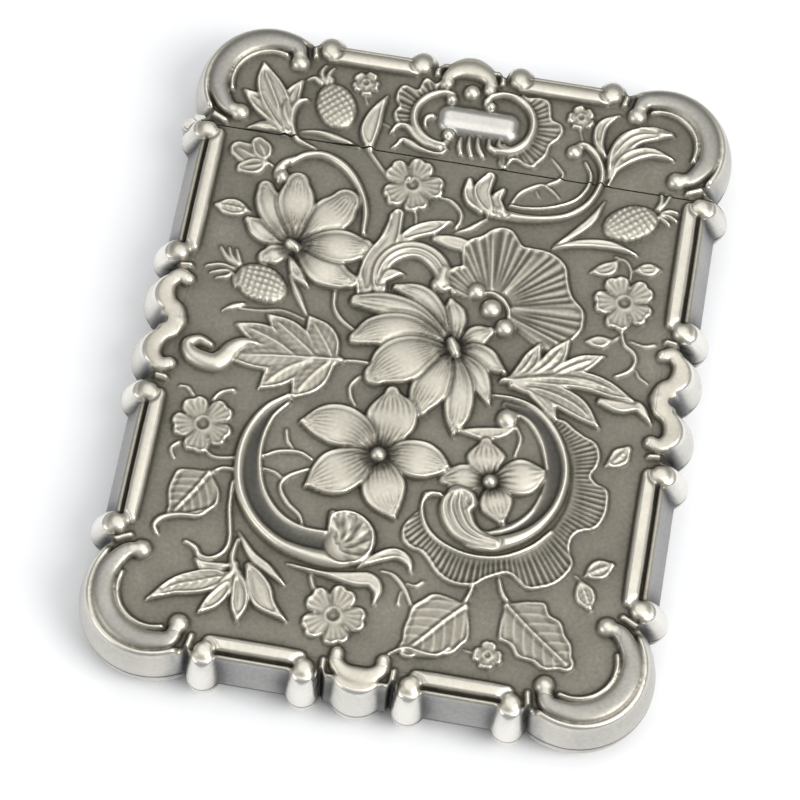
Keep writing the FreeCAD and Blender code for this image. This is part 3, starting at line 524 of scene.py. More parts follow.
def upper_work(f):
    """Ornament of the body from the seam to the middle."""
    # trefoil and single leaf at the left
    for points, widths, height in (
            (((-24.6, 25.0), (-26.6, 25.5), (-28.4, 26.1)), (0.3, 1.0, 1.4, 1.5, 1.2), 0.42),
            (((-24.6, 25.2), (-25.2, 26.4), (-26.0, 27.4)), (0.3, 1.0, 1.3, 1.3, 1.0), 0.46),
            (((-24.4, 24.6), (-26.0, 23.9), (-27.4, 23.5)), (0.3, 0.9, 1.2, 1.1, 0.8), 0.42)):
        f.blade(points, widths, height, rim=0.2, mid=0.12, shade=0.3)
    f.cord(((-24.8, 25.0), (-23.6, 24.5)), (0.3, 0.2), 0.5)
    f.blade(((-25.2, 17.3), (-27.4, 17.4), (-29.7, 17.5)), (0.15, 1.15, 1.2, 0.3), 0.48, rim=0.2, mid=0.16,
            veins=0.8, slant=-0.8)
    # arch over the daisy
    f.cord(((-10.0, 16.8), (-10.3, 20.2), (-11.8, 23.4), (-14.1, 25.9), (-17.0, 27.1), (-19.6, 26.6),
            (-21.2, 25.2)), (0.35, 0.45, 0.52, 0.6, 0.62, 0.58, 0.5), (0.6, 0.85, 0.95))
    f.cord(((-20.9, 25.8), (-22.1, 24.9), (-22.5, 23.4), (-22.2, 22.4)), (0.5, 0.65, 0.8, 0.5), 0.95)
    f.ball(-22.0, 23.1, 0.95, 1.0)
    # pineapple
    for line in (((-25.2, 9.2), (-26.6, 10.0), (-27.9, 11.5)), ((-25.0, 9.4), (-26.2, 10.4), (-26.8, 11.6)),
                 ((-24.8, 9.6), (-25.4, 10.6), (-25.8, 11.5)), ((-25.6, 8.8), (-27.4, 9.0), (-29.2, 8.5)),
                 ((-25.8, 8.3), (-26.9, 8.2), (-28.5, 7.6)), ((-25.7, 8.1), (-26.4, 7.4), (-27.6, 7.0)),
                 ((-25.5, 8.0), (-25.2, 6.9), (-24.8, 6.2))):
        f.cord(line, (0.16, 0.3, 0.22), 0.5)
    f.pineapple(-21.7, 7.15, 3.6, 2.5, -22.0, 0.8)
    # daisy
    f.blade(((-18.4, 9.1), (-16.8, 6.5), (-15.1, 3.8)), (0.15, 0.45, 0.15), 0.5, rim=0.1)
    f.blade(((-18.8, 11.6), (-17.6, 9.6), (-15.8, 7.9)), (0.3, 0.8, 0.2), 0.6, rim=0.16)
    for points, widths in (
            (((-20.2, 13.8), (-22.4, 14.4), (-25.2, 16.0)), (0.9, 1.4, 1.5, 1.3, 0.5)),
            (((-19.4, 12.6), (-20.6, 11.7), (-21.9, 11.0)), (0.8, 1.3, 1.5, 1.1)),
            (((-19.8, 14.6), (-21.6, 16.8), (-23.2, 19.4), (-23.8, 21.0)), (1.0, 1.5, 1.8, 1.9, 1.7, 1.1)),
            (((-17.4, 12.4), (-14.4, 10.8), (-12.0, 9.8), (-10.6, 9.5)), (1.0, 1.7, 2.2, 2.3, 1.9, 1.2)),
            (((-17.4, 14.6), (-15.6, 17.2), (-13.9, 19.3), (-13.1, 20.7)), (1.0, 1.7, 2.4, 2.7, 2.6, 2.0)),
            (((-17.0, 13.7), (-13.8, 14.1), (-11.0, 14.3), (-9.5, 14.5)), (1.0, 1.8, 2.3, 2.45, 2.2, 1.4)),
            (((-18.9, 15.2), (-19.3, 17.8), (-19.6, 20.6), (-19.8, 22.4)), (1.0, 1.6, 2.2, 2.5, 2.3, 1.6))):
        f.petal(points, widths, 0.75 + 0.1 * widths[2], lines=9, start=0.6)
    f.heart(-18.7, 13.5, 1.95)
    f.cord(((-19.2, 13.6), (-18.8, 13.4), (-18.3, 13.1)), (0.7, 0.8, 0.7), 0.95)
    # tendril and thin leaf
    f.cord(((-25.9, 2.5), (-24.6, 3.3), (-23.2, 4.0)), (0.15, 0.5, 0.15), 0.6)
    f.cord(((-24.0, 3.2), (-21.0, 3.4), (-18.3, 3.9), (-15.4, 3.2)), (0.2, 0.22, 0.2), 0.35)
    # big cut leaf
    f.cord(((-12.1, 7.6), (-11.8, 5.6), (-10.6, 4.0), (-8.6, 2.7)), (0.35, 0.3, 0.25), 0.5)
    f.cord(((-10.0, -1.9), (-8.2, -1.6), (-6.2, -1.5)), (0.3, 0.28, 0.3), 0.5)
    f.leaf(((((-9.6, -1.8), (-14.0, -2.3), (-19.0, -2.9), (-23.8, -3.6)), (0.5, 1.6, 1.9, 1.9, 0.7)),
            (((-15.2, -2.4), (-18.6, -0.6), (-23.8, 1.0)), (0.7, 1.5, 1.5, 0.15)),
            (((-12.6, -2.1), (-16.0, 0.3), (-20.1, 3.0)), (0.7, 1.7, 1.6, 0.15)),
            (((-10.6, -1.9), (-12.3, 0.6), (-14.8, 3.7)), (0.8, 1.9, 1.7, 0.15)),
            (((-13.2, -2.3), (-16.4, -4.4), (-19.2, -7.6)), (0.7, 1.8, 1.7, 0.15)),
            (((-10.8, -2.1), (-12.8, -4.6), (-14.8, -8.1)), (0.8, 2.0, 1.8, 0.15))), 0.45, shade=0.25)
    f.cord(((-9.4, -1.8), (-14.0, -2.3), (-19.5, -2.9)), (0.32, 0.3, 0.12), 0.82)
    f.cord(((-20.6, -1.4), (-22.4, -1.6), (-23.6, -2.6), (-24.4, -4.0), (-25.4, -4.9), (-26.9, -4.8),
            (-28.6, -4.2), (-29.3, -2.9), (-28.0, -2.1), (-26.4, -2.6)),
           (0.25, 0.8, 1.15, 1.35, 1.4, 1.35, 1.15, 0.85, 0.7, 0.5), (0.85, 1.0, 1.05, 1.0, 0.9), over=True)


def crest_work(f):
    """Small flower, acanthus crest, fan shell and what is at the right of the body."""
    f.blossom(-4.9, 24.9, 4.05, 5, 38.0, 0.6, 0.75)
    f.ball(-5.5, 25.6, 0.45, 0.95, over=False)
    f.cord(((-4.2, 21.6), (-3.7, 20.6), (-3.5, 19.4)), 0.2, 0.35)
    f.cord(((-0.9, 23.7), (0.6, 23.4), (1.9, 22.2), (2.2, 20.8), (1.7, 19.6)), (0.15, 0.3, 0.3, 0.3, 0.2),
           0.5)
    f.blade(((1.8, 18.9), (3.6, 19.9), (5.6, 21.8)), (0.15, 0.35, 0.12), 0.45, rim=0.1)
    # the long scroll that crosses the seam
    f.cord(((14.4, 26.4), (13.2, 27.4), (11.8, 27.9), (10.4, 27.2), (9.2, 26.2), (8.4, 24.6)),
           (0.12, 0.2, 0.22, 0.25, 0.25, 0.2), 0.5)
    f.cord(((12.4, 32.2), (13.7, 30.9), (14.4, 29.9), (13.8, 28.9), (12.5, 28.1)),
           (0.12, 0.2, 0.22, 0.24, 0.2), 0.5)
    f.cord(((11.2, 27.0), (11.7, 26.2)), 0.14, 0.35)
    f.cord(((17.0, 32.3), (18.0, 30.4), (17.8, 28.4), (16.4, 26.3), (13.6, 24.8), (10.6, 24.1), (8.2, 24.1)),
           (0.2, 0.28, 0.28, 0.26, 0.22), 0.7)
    f.cord(((15.4, 34.1), (16.6, 34.7), (18.2, 33.6), (19.4, 31.3), (19.4, 28.8), (18.2, 26.0), (15.9, 23.9),
            (13.0, 22.9), (9.6, 22.5), (6.2, 22.8), (4.0, 23.4)),
           (0.6, 0.5, 0.42, 0.42, 0.45, 0.5, 0.5, 0.55, 0.7, 0.9, 0.6), 0.98)
    f.ball(15.4, 33.5, 1.1, 1.05)
    f.blade(((4.6, 22.6), (2.8, 24.4), (2.4, 26.8)), (0.5, 0.8, 0.8, 0.45), 0.85, rim=0.24)
    f.blade(((7.6, 22.6), (6.3, 24.4), (7.0, 26.1)), (0.5, 0.8, 0.75, 0.4), 0.85, rim=0.24)
    f.blade(((5.9, 22.4), (4.3, 25.2), (5.0, 27.7)), (0.6, 1.05, 1.2, 0.75), 0.9, rim=0.3)
    f.cord(((5.7, 22.8), (4.7, 25.4), (5.2, 27.2)), (0.3, 0.25, 0.15), 1.0)
    # crest of three leaves over the curl
    f.blade(((-0.6, 17.6), (2.0, 17.4), (5.2, 17.0)), (0.5, 0.95, 0.9, 0.15), 0.65, rim=0.14, side=-1)
    f.blade(((-5.4, 16.2), (-3.4, 18.0), (-1.0, 19.2), (1.1, 20.4)), (0.5, 0.95, 1.0, 0.2), 0.6, rim=0.28)
    f.blade(((-8.2, 8.6), (-8.2, 12.6), (-6.6, 16.0), (-6.0, 20.3)), (0.7, 1.2, 1.35, 1.2, 0.8), 0.5, rim=0.3)
    f.cord(((-9.1, 7.8), (-9.4, 10.6), (-8.6, 14.0), (-7.0, 17.4), (-6.9, 20.1)),
           (0.25, 0.32, 0.3, 0.25, 0.2), 0.85)
    f.band(arc(-2.7, 11.1, 4.2, 4.35, 205, 0), (1.0, 1.2, 1.35, 1.35, 1.35, 1.2), 1.0, 3)
    f.cord(((1.4, 13.2), (1.3, 11.9), (0.9, 11.0)), (0.95, 1.15, 0.9), 1.0)
    f.ball(0.9, 11.1, 1.05, 1.0, over=False)
    f.blade(((-6.6, 10.0), (-5.4, 11.4), (-3.8, 11.7)), (0.35, 0.8, 0.2), 0.8, rim=0.1)
    # fan shell
    outer = ((-34, 7.2), (-27, 10.6), (-17, 11.1), (-7, 12.0), (0, 12.1), (8, 11.9),
             (18, 10.7), (30, 10.7), (42, 11.5), (55, 11.2), (68, 10.2), (76, 10.0),
             (86, 11.6), (96, 11.6), (106, 10.5), (116, 10.2), (124, 9.0), (131, 7.2),
             (140, 7.6), (153, 7.2), (168, 5.4))
    f.fan(8.2, 9.0, ((-34, 3.0), (0, 2.6), (90, 2.4), (168, 2.8)), outer, 31, 0.62, 0.24,
          strong=(-22.0, 8.0, 62.0, 99.0))
    f.cord(((6.9, 10.9), (8.2, 11.0), (9.6, 10.3), (10.5, 9.0), (10.6, 8.0)), (0.25, 0.32, 0.3, 0.25), 0.8)
    for x, y, r in ((6.0, 11.0, 1.2), (8.25, 8.9, 1.38), (10.35, 6.5, 1.28)):
        f.ball(x, y, r, 1.05)
    # pineapple at the top right
    for line in (((27.2, 27.0), (27.7, 28.2), (27.6, 29.4)), ((27.5, 26.9), (28.2, 27.9), (28.7, 29.2)),
                 ((27.8, 26.5), (28.8, 27.0), (30.0, 27.0)), ((27.8, 26.2), (28.9, 26.3), (30.0, 25.8)),
                 ((27.6, 25.9), (28.4, 25.6), (29.1, 25.1))):
        f.cord(line, (0.2, 0.3, 0.22), 0.6)
    f.pineapple(24.2, 24.3, 3.7, 2.5, 27.0, 0.8)
    f.blade(((14.8, 19.2), (17.0, 21.3), (19.2, 24.0), (20.4, 27.0)), (0.2, 0.5, 0.55, 0.12), 0.6, rim=0.2)
    f.blade(((14.8, 18.9), (18.2, 20.2), (22.0, 20.6), (25.6, 19.9)), (0.2, 0.6, 0.65, 0.15), 0.65, rim=0.2)
    # five-petalled flower on the right, with its leaves
    f.cord(((22.9, 19.2), (24.4, 18.8), (25.2, 17.6), (25.3, 16.2)), (0.16, 0.22, 0.2), 0.4)
    f.blade(((23.4, 18.8), (22.4, 17.4), (20.0, 16.3)), (0.15, 0.9, 0.85, 0.15), 0.38, rim=0.18, mid=0.1)
    f.blade(((25.7, 17.7), (27.2, 18.0), (28.9, 18.4)), (0.2, 0.85, 0.9, 0.2), 0.4, rim=0.18, mid=0.14)
    f.blossom(25.0, 12.75, 3.95, 5, 8.0, 0.62, 0.75)
    f.cord(((25.2, 8.7), (25.9, 6.9), (27.2, 5.9), (27.6, 4.6), (26.9, 3.2), (25.3, 2.2)),
           (0.2, 0.28, 0.3, 0.3, 0.2), 0.5)
    f.cord(((25.0, 7.9), (24.0, 6.9), (23.2, 6.0)), (0.15, 0.2), 0.4)
    f.blade(((24.2, 7.2), (22.8, 6.7), (20.9, 6.5)), (0.2, 0.8, 0.8, 0.15), 0.38, rim=0.18)
    f.cord(((26.4, 7.5), (28.3, 7.1), (29.8, 7.6)), (0.12, 0.24, 0.16), 0.4)
    f.cord(((27.8, 3.6), (28.4, 2.6), (29.5, 2.0)), (0.12, 0.22, 0.16), 0.4)
    # long cut leaf
    f.blade(((24.0, -1.6), (26.4, -2.0), (28.8, -1.6), (30.7, -3.5)), (0.5, 0.9, 0.75, 0.12), 0.8, rim=0.1)
    f.leaf(((((11.2, -1.0), (16.0, 0.3), (22.0, 0.8), (28.2, -0.9)), (0.4, 1.0, 1.3, 1.3, 1.1, 0.2)),
            (((12.2, -0.8), (14.0, 1.6), (15.2, 4.9)), (0.5, 1.0, 1.1, 0.3)),
            (((14.0, -0.3), (16.8, 2.4), (18.8, 6.1)), (0.5, 1.1, 1.3, 0.3)),
            (((16.6, 0.2), (20.0, 2.6), (23.6, 4.7)), (0.5, 1.1, 1.2, 0.2)),
            (((12.6, -1.4), (17.0, -1.6), (20.8, -2.8), (24.2, -5.2)), (0.5, 1.1, 1.5, 1.3, 0.2)),
            (((14.4, -1.6), (17.0, -3.0), (18.9, -5.4)), (0.4, 0.8, 0.8, 0.2))), 0.55, rim=0.28, rib=0.3,
           shade=0.15)
    f.cord(((11.2, -1.1), (15.0, -0.2), (19.0, 0.4), (24.0, 0.2)), (0.26, 0.26, 0.12), 0.95)
    f.blade(((25.9, -10.4), (27.2, -9.2), (28.4, -7.5)), (0.15, 0.9, 1.25, 0.5), 0.4, rim=0.2, mid=0.12,
            veins=0.7)
    # the great flower
    for points, widths, height, lines in (
            (((5.4, 3.6), (7.2, 4.8), (8.6, 5.6)), (0.7, 1.3, 1.5, 1.3, 0.7), 0.75, 5),
            (((4.3, 4.2), (3.8, 6.6), (2.9, 9.0)), (0.7, 1.3, 1.6, 1.4, 0.5), 0.8, 5),
            (((5.6, 2.8), (7.8, 2.0), (9.8, 1.0), (11.3, 0.2)), (0.8, 1.4, 1.7, 1.6, 1.0, 0.4), 0.85, 7),
            (((5.4, 1.4), (7.6, -0.4), (9.1, -2.6), (10.1, -4.6)), (0.7, 1.3, 1.5, 1.3, 0.8, 0.2), 0.75, 5),
            (((2.9, 4.6), (1.2, 7.4), (-1.2, 9.3), (-4.4, 9.7)), (0.6, 1.1, 1.35, 1.4, 1.1, 0.5), 0.85, 5),
            (((2.6, 4.2), (-1.2, 6.4), (-5.0, 7.1), (-9.1, 6.9)), (0.7, 1.2, 1.5, 1.6, 1.5, 0.9), 0.95, 5),
            (((2.4, 3.3), (-1.6, 4.1), (-5.6, 3.2), (-8.2, 1.6)), (0.8, 1.5, 2.1, 2.3, 2.0, 1.0), 0.97, 9),
            (((4.8, 1.0), (6.0, -2.6), (6.3, -6.0), (6.3, -9.5)), (0.8, 1.4, 1.8, 1.9, 1.5, 0.3), 0.92, 7),
            (((3.8, 1.0), (2.8, -2.0), (1.9, -4.6), (1.3, -6.4)), (0.8, 1.6, 2.1, 2.4, 2.2, 1.5), 0.97, 9),
            (((2.8, 2.2), (-0.2, 0.8), (-3.0, -1.2), (-4.8, -3.0)),
             (0.9, 2.0, 2.9, 3.2, 2.8, 1.6), 0.97, 11)):
        f.petal(points, widths, height, lines=lines)
    f.heart(4.3, 2.7, 1.8, 0.65)
    f.cord(((3.85, 3.4), (4.3, 2.7), (4.75, 1.8)), (0.65, 0.85, 0.65), 1.0)


def lower_work(f):
    """Ornament of the lower half of the body."""
    # flower at the left with its tendrils
    f.cord(((-29.2, -8.9), (-28.1, -8.9), (-27.2, -9.8)), (0.2, 0.25, 0.2), 0.45)
    f.cord(((-24.6, -10.0), (-23.8, -8.9), (-22.3, -8.3)), (0.22, 0.28, 0.35), 0.55)
    f.cord(((-27.6, -16.4), (-28.5, -17.5), (-27.9, -18.8)), (0.18, 0.26, 0.16), 0.45)
    f.cord(((-24.3, -17.0), (-22.7, -17.8), (-20.3, -17.4)), (0.15, 0.28, 0.26), 0.45)
    f.blossom(-25.2, -13.6, 3.95, 5, 12.0, 0.62, 0.75)
    # heart leaf
    f.cord(((-20.2, -19.0), (-21.8, -19.2), (-23.3, -20.4)), (0.3, 0.3, 0.25), 0.55)
    f.blade(((-23.1, -20.0), (-24.4, -22.6), (-26.4, -25.9)), (0.5, 3.1, 3.4, 2.5, 1.0), 0.4, rim=0.3,
            mid=0.28, veins=1.3, slant=0.7, shade=0.35, wave=0.04, waves=2)
    f.cord(((-21.6, -24.4), (-23.2, -26.0), (-25.6, -26.3), (-27.6, -27.0), (-28.4, -28.1), (-27.8, -29.3)),
           (0.2, 0.32, 0.35, 0.45, 0.45, 0.12), 0.75)
    # scrollwork tendrils inside the left scroll
    f.cord(((-14.6, -12.5), (-14.2, -13.9), (-13.3, -14.9)), (0.28, 0.28, 0.15), 0.5)
    f.cord(((-16.7, -16.5), (-14.9, -15.6), (-12.4, -15.3), (-10.7, -15.9)), (0.25, 0.35, 0.3, 0.15), 0.6)
    f.cord(((-16.5, -18.2), (-14.9, -18.5), (-13.8, -19.2)), (0.18, 0.25, 0.2), 0.45)
    f.cord(((-10.9, -17.3), (-13.3, -18.8), (-13.9, -20.4), (-12.6, -22.3), (-10.9, -23.6), (-10.2, -25.0)),
           (0.22, 0.3, 0.3, 0.3, 0.25, 0.2), 0.55)
    f.cord(((-6.8, -3.5), (-7.7, -5.0), (-7.5, -6.4), (-6.7, -7.6)), (0.2, 0.3, 0.28, 0.12), 0.5)
    # left scroll: a hollow band between two ridges
    f.channel(((-15.2, -8.6), (-17.4, -11.4), (-18.4, -15.8), (-17.5, -21.0), (-14.6, -25.0), (-10.8, -27.0),
               (-6.6, -27.2)), (0.5, 0.9, 1.2, 1.3, 1.4, 1.6, 1.5), 0.5)
    f.cord(((-15.0, -8.8), (-16.7, -11.4), (-17.3, -15.6), (-16.3, -20.2), (-13.8, -23.6), (-10.4, -25.3),
            (-6.0, -25.4)), (0.25, 0.32, 0.32, 0.32, 0.36, 0.4, 0.3), 0.72)
    f.cord(((-15.2, -7.8), (-17.7, -10.0), (-19.3, -13.4), (-19.7, -17.4), (-18.8, -21.6), (-16.4, -25.2),
            (-12.9, -27.7), (-9.0, -28.7), (-5.2, -28.8), (-2.4, -27.8)),
           (0.34, 0.5, 0.62, 0.66, 0.68, 0.7, 0.78, 0.95, 1.2, 1.0), (0.8, 1.0, 1.05, 1.1))
    f.ball(-4.7, -26.5, 2.5, 0.8)
    outer = ((-45, 3.1), (-16, 4.0), (11, 4.6), (32, 5.0), (60, 5.1), (87, 4.9), (108, 4.3), (128, 2.6))
    f.fan(-5.4, -27.0, ((-45, 0.3), (128, 0.3)), outer, 5, 1.12, 0.34, twist=45.0, stain_and_shade=0.25)
    f.cord(((-6.8, -22.7), (-6.7, -23.9), (-5.9, -25.0)), (0.5, 0.45, 0.2), 0.9)
    # five-petalled flower
    for points, widths in (
            (((-2.2, -12.6), (-1.9, -10.4), (-1.8, -8.0), (-2.3, -5.2)), (1.3, 2.3, 3.1, 3.3, 2.7, 1.0)),
            (((-1.3, -13.8), (1.6, -13.6), (4.2, -13.8), (6.7, -14.3)), (1.3, 2.2, 2.6, 2.5, 1.7, 0.3)),
            (((-3.7, -13.0), (-6.0, -11.3), (-9.0, -10.7), (-13.0, -11.1)), (1.3, 2.2, 2.8, 2.8, 2.0, 0.3)),
            (((-2.3, -14.8), (-1.5, -17.2), (-0.6, -19.4), (0.9, -22.0)), (1.3, 2.3, 2.8, 2.6, 1.7, 0.3)),
            (((-3.7, -14.4), (-5.8, -16.1), (-8.0, -17.7), (-10.7, -19.6)), (1.3, 2.4, 3.0, 3.0, 2.1, 0.4))):
        f.petal(points, widths, 0.94, lines=9, start=0.5, rim=0.18, puff=0.2)
    f.heart(-2.6, -13.7, 1.95, 0.65)
    f.ball(-2.6, -13.7, 0.98, 0.85)
    # bead, crescent leaf and four-petalled flower
    f.blade(((7.1, -8.8), (10.2, -8.6), (12.6, -8.0), (14.1, -6.9)), (0.3, 0.85, 0.8, 0.12), 0.55, rim=0.14,
            veins=0.7, slant=-1.2)
    f.cord(((14.0, -6.9), (14.8, -8.6), (14.4, -11.0)), (0.15, 0.3, 0.15), 0.45)
    f.petal(((11.2, -14.9), (8.6, -15.0), (6.2, -15.7)), (0.9, 1.7, 1.9, 1.6, 0.7), 0.5, lines=5)
    for points, widths, height in (
            (((11.6, -14.0), (11.0, -12.2), (10.6, -9.9)), (1.0, 1.7, 2.3, 2.5, 1.9, 0.9), 0.72),
            (((12.4, -15.6), (13.1, -17.6), (14.2, -20.0)), (1.0, 1.7, 2.1, 2.0, 1.4, 0.6), 0.78)):
        f.petal(points, widths, height, start=0.4, rim=0.17)
    f.petal(((12.8, -14.4), (15.6, -13.8), (18.8, -12.6)), (1.0, 2.0, 2.5, 2.4, 1.6, 0.3), 0.9, lines=5,
            rim=0.17)
    f.heart(11.9, -14.9, 1.55, 0.65)
    f.ball(11.9, -14.85, 0.92, 0.85)
    f.ball(12.65, -6.1, 1.38, 1.1)
    # ruffled border outside the right scroll
    outer = ((-141, 11.0), (-138, 13.3), (-133, 14.6), (-126, 14.8), (-120.5, 14.3), (-115, 14.6),
             (-108, 15.5), (-100, 16.0), (-91, 15.6), (-85, 14.5), (-76, 13.8), (-71, 14.3),
             (-66, 16.2), (-61, 16.6), (-54, 16.8), (-47, 16.4), (-42, 15.7), (-38.5, 14.0),
             (-33, 13.2), (-27, 13.4), (-21, 14.8), (-13, 15.1), (-6, 14.9), (0.5, 14.4),
             (3.5, 12.9), (8, 12.3), (14, 13.2), (20, 13.7), (27, 13.6), (33, 12.6), (40, 11.9),
             (47, 11.6), (52, 11.0))
    inner = ((-141, 10.6), (-120, 11.6), (-90, 11.9), (-60, 11.2), (-30, 10.4), (0, 9.9),
             (30, 9.9), (52, 10.2))
    f.fan(12.2, -13.6, inner, outer, 66, 0.5, 0.3)
    # right scroll
    f.channel(((12.2, -4.2), (15.8, -5.2), (18.4, -7.8), (19.8, -12.2), (19.4, -16.6), (17.2, -20.0),
               (13.6, -22.2)), (0.5, 0.8, 1.1, 1.25, 1.2, 1.1, 0.9), 0.5)
    f.cord(((4.2, -18.0), (4.1, -20.2), (5.2, -22.6), (7.6, -24.4), (11.2, -25.3), (15.0, -24.8),
            (18.4, -22.8), (20.6, -20.2)), (0.3, 0.28, 0.3, 0.32, 0.34, 0.32, 0.28, 0.15), 0.75)
    f.cord(((4.1, -19.0), (4.7, -18.0), (6.1, -17.8)), (0.3, 0.42, 0.3), 0.8)
    f.cord(((13.4, -5.2), (15.6, -6.1), (17.5, -8.7), (18.7, -12.0)), (0.15, 0.26, 0.26, 0.2), 0.6)
    f.cord(((18.5, -15.8), (17.6, -18.4), (15.6, -20.6), (13.0, -21.8), (10.8, -21.4)),
           (0.15, 0.26, 0.28, 0.25, 0.15), 0.6)
    f.cord(((10.5, -3.1), (13.2, -3.2), (16.2, -4.2), (18.9, -6.8), (20.7, -10.2), (21.2, -13.7),
            (20.4, -17.4), (18.2, -20.7), (15.0, -22.8), (11.8, -23.4), (9.0, -22.4)),
           (0.2, 0.32, 0.42, 0.5, 0.55, 0.58, 0.6, 0.75, 0.95, 1.1, 1.0), (0.6, 0.95, 1.05, 1.1, 1.1))
    f.ball(8.3, -18.9, 1.9, 0.95)
    f.band(((14.0, -23.1), (11.6, -22.8), (9.8, -21.9), (8.6, -20.3), (8.1, -18.9), (8.2, -17.6)),
           (0.75, 1.0, 1.45, 1.85, 2.1, 2.1, 1.5), 1.12, 4)
    f.cord(((7.4, -17.4), (8.6, -16.9), (9.9, -17.4), (10.3, -18.6), (9.7, -19.5)),
           (0.4, 0.55, 0.65, 0.6, 0.3), 1.05)
    # two sprigs at the right edge
    f.cord(((24.2, -25.5), (25.4, -26.2), (26.0, -27.0)), (0.12, 0.18, 0.15), 0.4)
    for points, widths in ((((25.6, -25.4), (27.0, -24.4), (28.7, -23.4)), (0.2, 1.15, 1.25, 0.4)),
                           (((25.0, -26.2), (25.9, -27.8), (26.8, -29.6)), (0.2, 1.15, 1.2, 0.3))):
        f.blade(points, widths, 0.4, rim=0.2, mid=0.14, veins=0.7)
    # acanthus spray at the lower left
    f.blade(((-17.9, -27.2), (-15.6, -30.0), (-13.4, -31.4), (-11.0, -33.1)), (0.15, 0.5, 0.6, 0.12), 0.6,
            rim=0.22)
    f.cord(((-20.0, -20.6), (-19.6, -24.4), (-18.8, -28.2), (-19.2, -30.2), (-20.6, -31.3), (-22.0, -31.2),
            (-22.8, -30.2), (-24.2, -29.6)), (0.15, 0.25, 0.32, 0.32, 0.34, 0.34, 0.4, 0.25), 0.75)
    f.blade(((-18.2, -31.8), (-20.0, -32.4), (-21.4, -32.4), (-22.6, -31.6)), (0.3, 0.6, 0.65, 0.15), 0.6,
            rim=0.24)
    f.blade(((-18.0, -33.2), (-21.4, -34.6), (-24.4, -35.8), (-27.3, -38.0)), (0.6, 1.5, 1.45, 0.9, 0.2),
            0.6, rim=0.3, mid=0.18, veins=1.2, slant=1.4)
    f.blade(((-17.4, -33.8), (-18.8, -36.2), (-20.6, -38.5)), (0.5, 0.95, 0.95, 0.3), 0.6, rim=0.3)
    f.blade(((-15.8, -31.4), (-14.2, -33.8), (-12.8, -35.9), (-9.9, -37.8)), (0.5, 1.3, 1.5, 0.8, 0.15),
            0.65, rim=0.28)
    f.blade(((-16.9, -32.6), (-16.1, -35.6), (-15.8, -38.9)), (0.5, 1.0, 1.1, 0.2), 0.65, rim=0.3)
    f.cord(((-17.8, -28.2), (-18.0, -30.6), (-17.6, -32.6), (-18.8, -34.2)), (0.2, 0.42, 0.45, 0.2), 0.8)
    f.cord(((-17.4, -31.4), (-16.8, -33.4)), (0.35, 0.3), 0.75)
    # leaves under the left scroll
    f.cord(((0.5, -29.2), (2.2, -29.5), (3.8, -31.0), (5.2, -33.4)), (0.18, 0.3, 0.3, 0.12), 0.5)
    f.cord(((3.9, -30.2), (5.0, -30.4), (5.9, -29.6)), (0.12, 0.22, 0.16), 0.4)
    f.cord(((3.4, -31.4), (3.3, -33.1)), (0.14, 0.25), 0.4)
    f.blade(((-2.4, -29.3), (-0.2, -27.6), (1.9, -26.7), (3.6, -27.4), (4.2, -28.8)),
            (0.12, 0.6, 0.8, 0.65, 0.12), 0.65, rim=0.22)
    f.blade(((-11.2, -30.3), (-7.0, -30.8), (-3.0, -30.9), (-0.6, -30.7), (0.5, -31.8), (0.4, -33.8)),
            (0.1, 0.25, 0.35, 0.7, 1.0, 0.75, 0.12), 0.7, rim=0.1)
    f.cord(((-8.0, -31.4), (-7.3, -32.8), (-5.9, -33.9)), (0.3, 0.3, 0.15), 0.5)
    f.blossom(-4.3, -36.0, 4.0, 5, 36.0, 0.62, 0.75)
    # two broad leaves
    f.cord(((12.1, -28.8), (11.8, -30.4), (11.1, -32.0)), (0.25, 0.32, 0.25), 0.6)
    f.blade(((11.6, -31.9), (9.4, -34.2), (7.4, -36.6), (5.6, -38.6)), (0.5, 3.2, 4.0, 3.8, 2.9, 1.3), 0.42,
            rim=0.28, mid=0.28, veins=1.7, slant=0.9, shade=0.3, wave=0.03, waves=3)
    f.cord(((10.6, -37.6), (9.2, -38.9), (7.2, -38.9), (5.2, -38.7), (3.2, -39.8)),
           (0.2, 0.3, 0.3, 0.35, 0.15), 0.75)
    f.cord(((15.1, -27.7), (15.8, -29.4), (16.9, -30.7)), (0.25, 0.32, 0.28), 0.6)
    f.blade(((16.6, -30.9), (19.4, -33.2), (21.8, -35.0), (24.9, -37.2)), (0.5, 3.1, 3.6, 3.2, 2.8, 1.1),
            0.42, rim=0.28, mid=0.28, veins=1.7, slant=0.9, shade=0.3, wave=0.1, waves=3)
    f.cord(((12.2, -37.6), (13.8, -37.8)), (0.12, 0.18), 0.35)
    f.blossom(15.3, -37.8, 1.85, 4, 45.0, 0.5, 0.4)


# ------------------------------------------------------------------ the border
def border_work(f):
    """Rods, knobs, collars, brackets and corner scrolls, and the lip outside them."""
    gx, gy = np.meshgrid(np.abs(f.x), np.abs(f.y))
    from_corner = np.hypot(gx - CORNER[0], gy - CORNER[1])
    in_corner = (gx > CORNER[0]) & (gy > CORNER[1])
    straight = np.maximum(ease(*LIP_X, gx), ease(*LIP_Y, gy)) * ease(7.7, 7.95, from_corner)
    lip = np.where(in_corner, ease(*LIP_ROUND, from_corner), straight)
    f.lay(EVERYWHERE, LIP_HEIGHT, lip, False, -0.2)
    for side in (1, -1):
        for y0, y1 in SIDE_RODS[1]:
            rod(f, (side * SIDE_RODS[0], y0), (side * SIDE_RODS[0], y1))
        for x0, x1 in END_RODS[1]:
            rod(f, (x0, side * END_RODS[0]), (x1, side * END_RODS[0]))
        side_bracket(f, side)
        end_bracket(f, side)
        for end in (1, -1):
            corner_scroll(f, side, end)
    for right, up in ((1, 1), (1, -1), (-1, 1), (-1, -1)):
        for place, line, *_ in SIDE_COLUMNS[:2]:
            knob(f, right * line, up * place)
        for place, line, *_ in END_COLUMNS[:2]:
            knob(f, right * place, up * line)


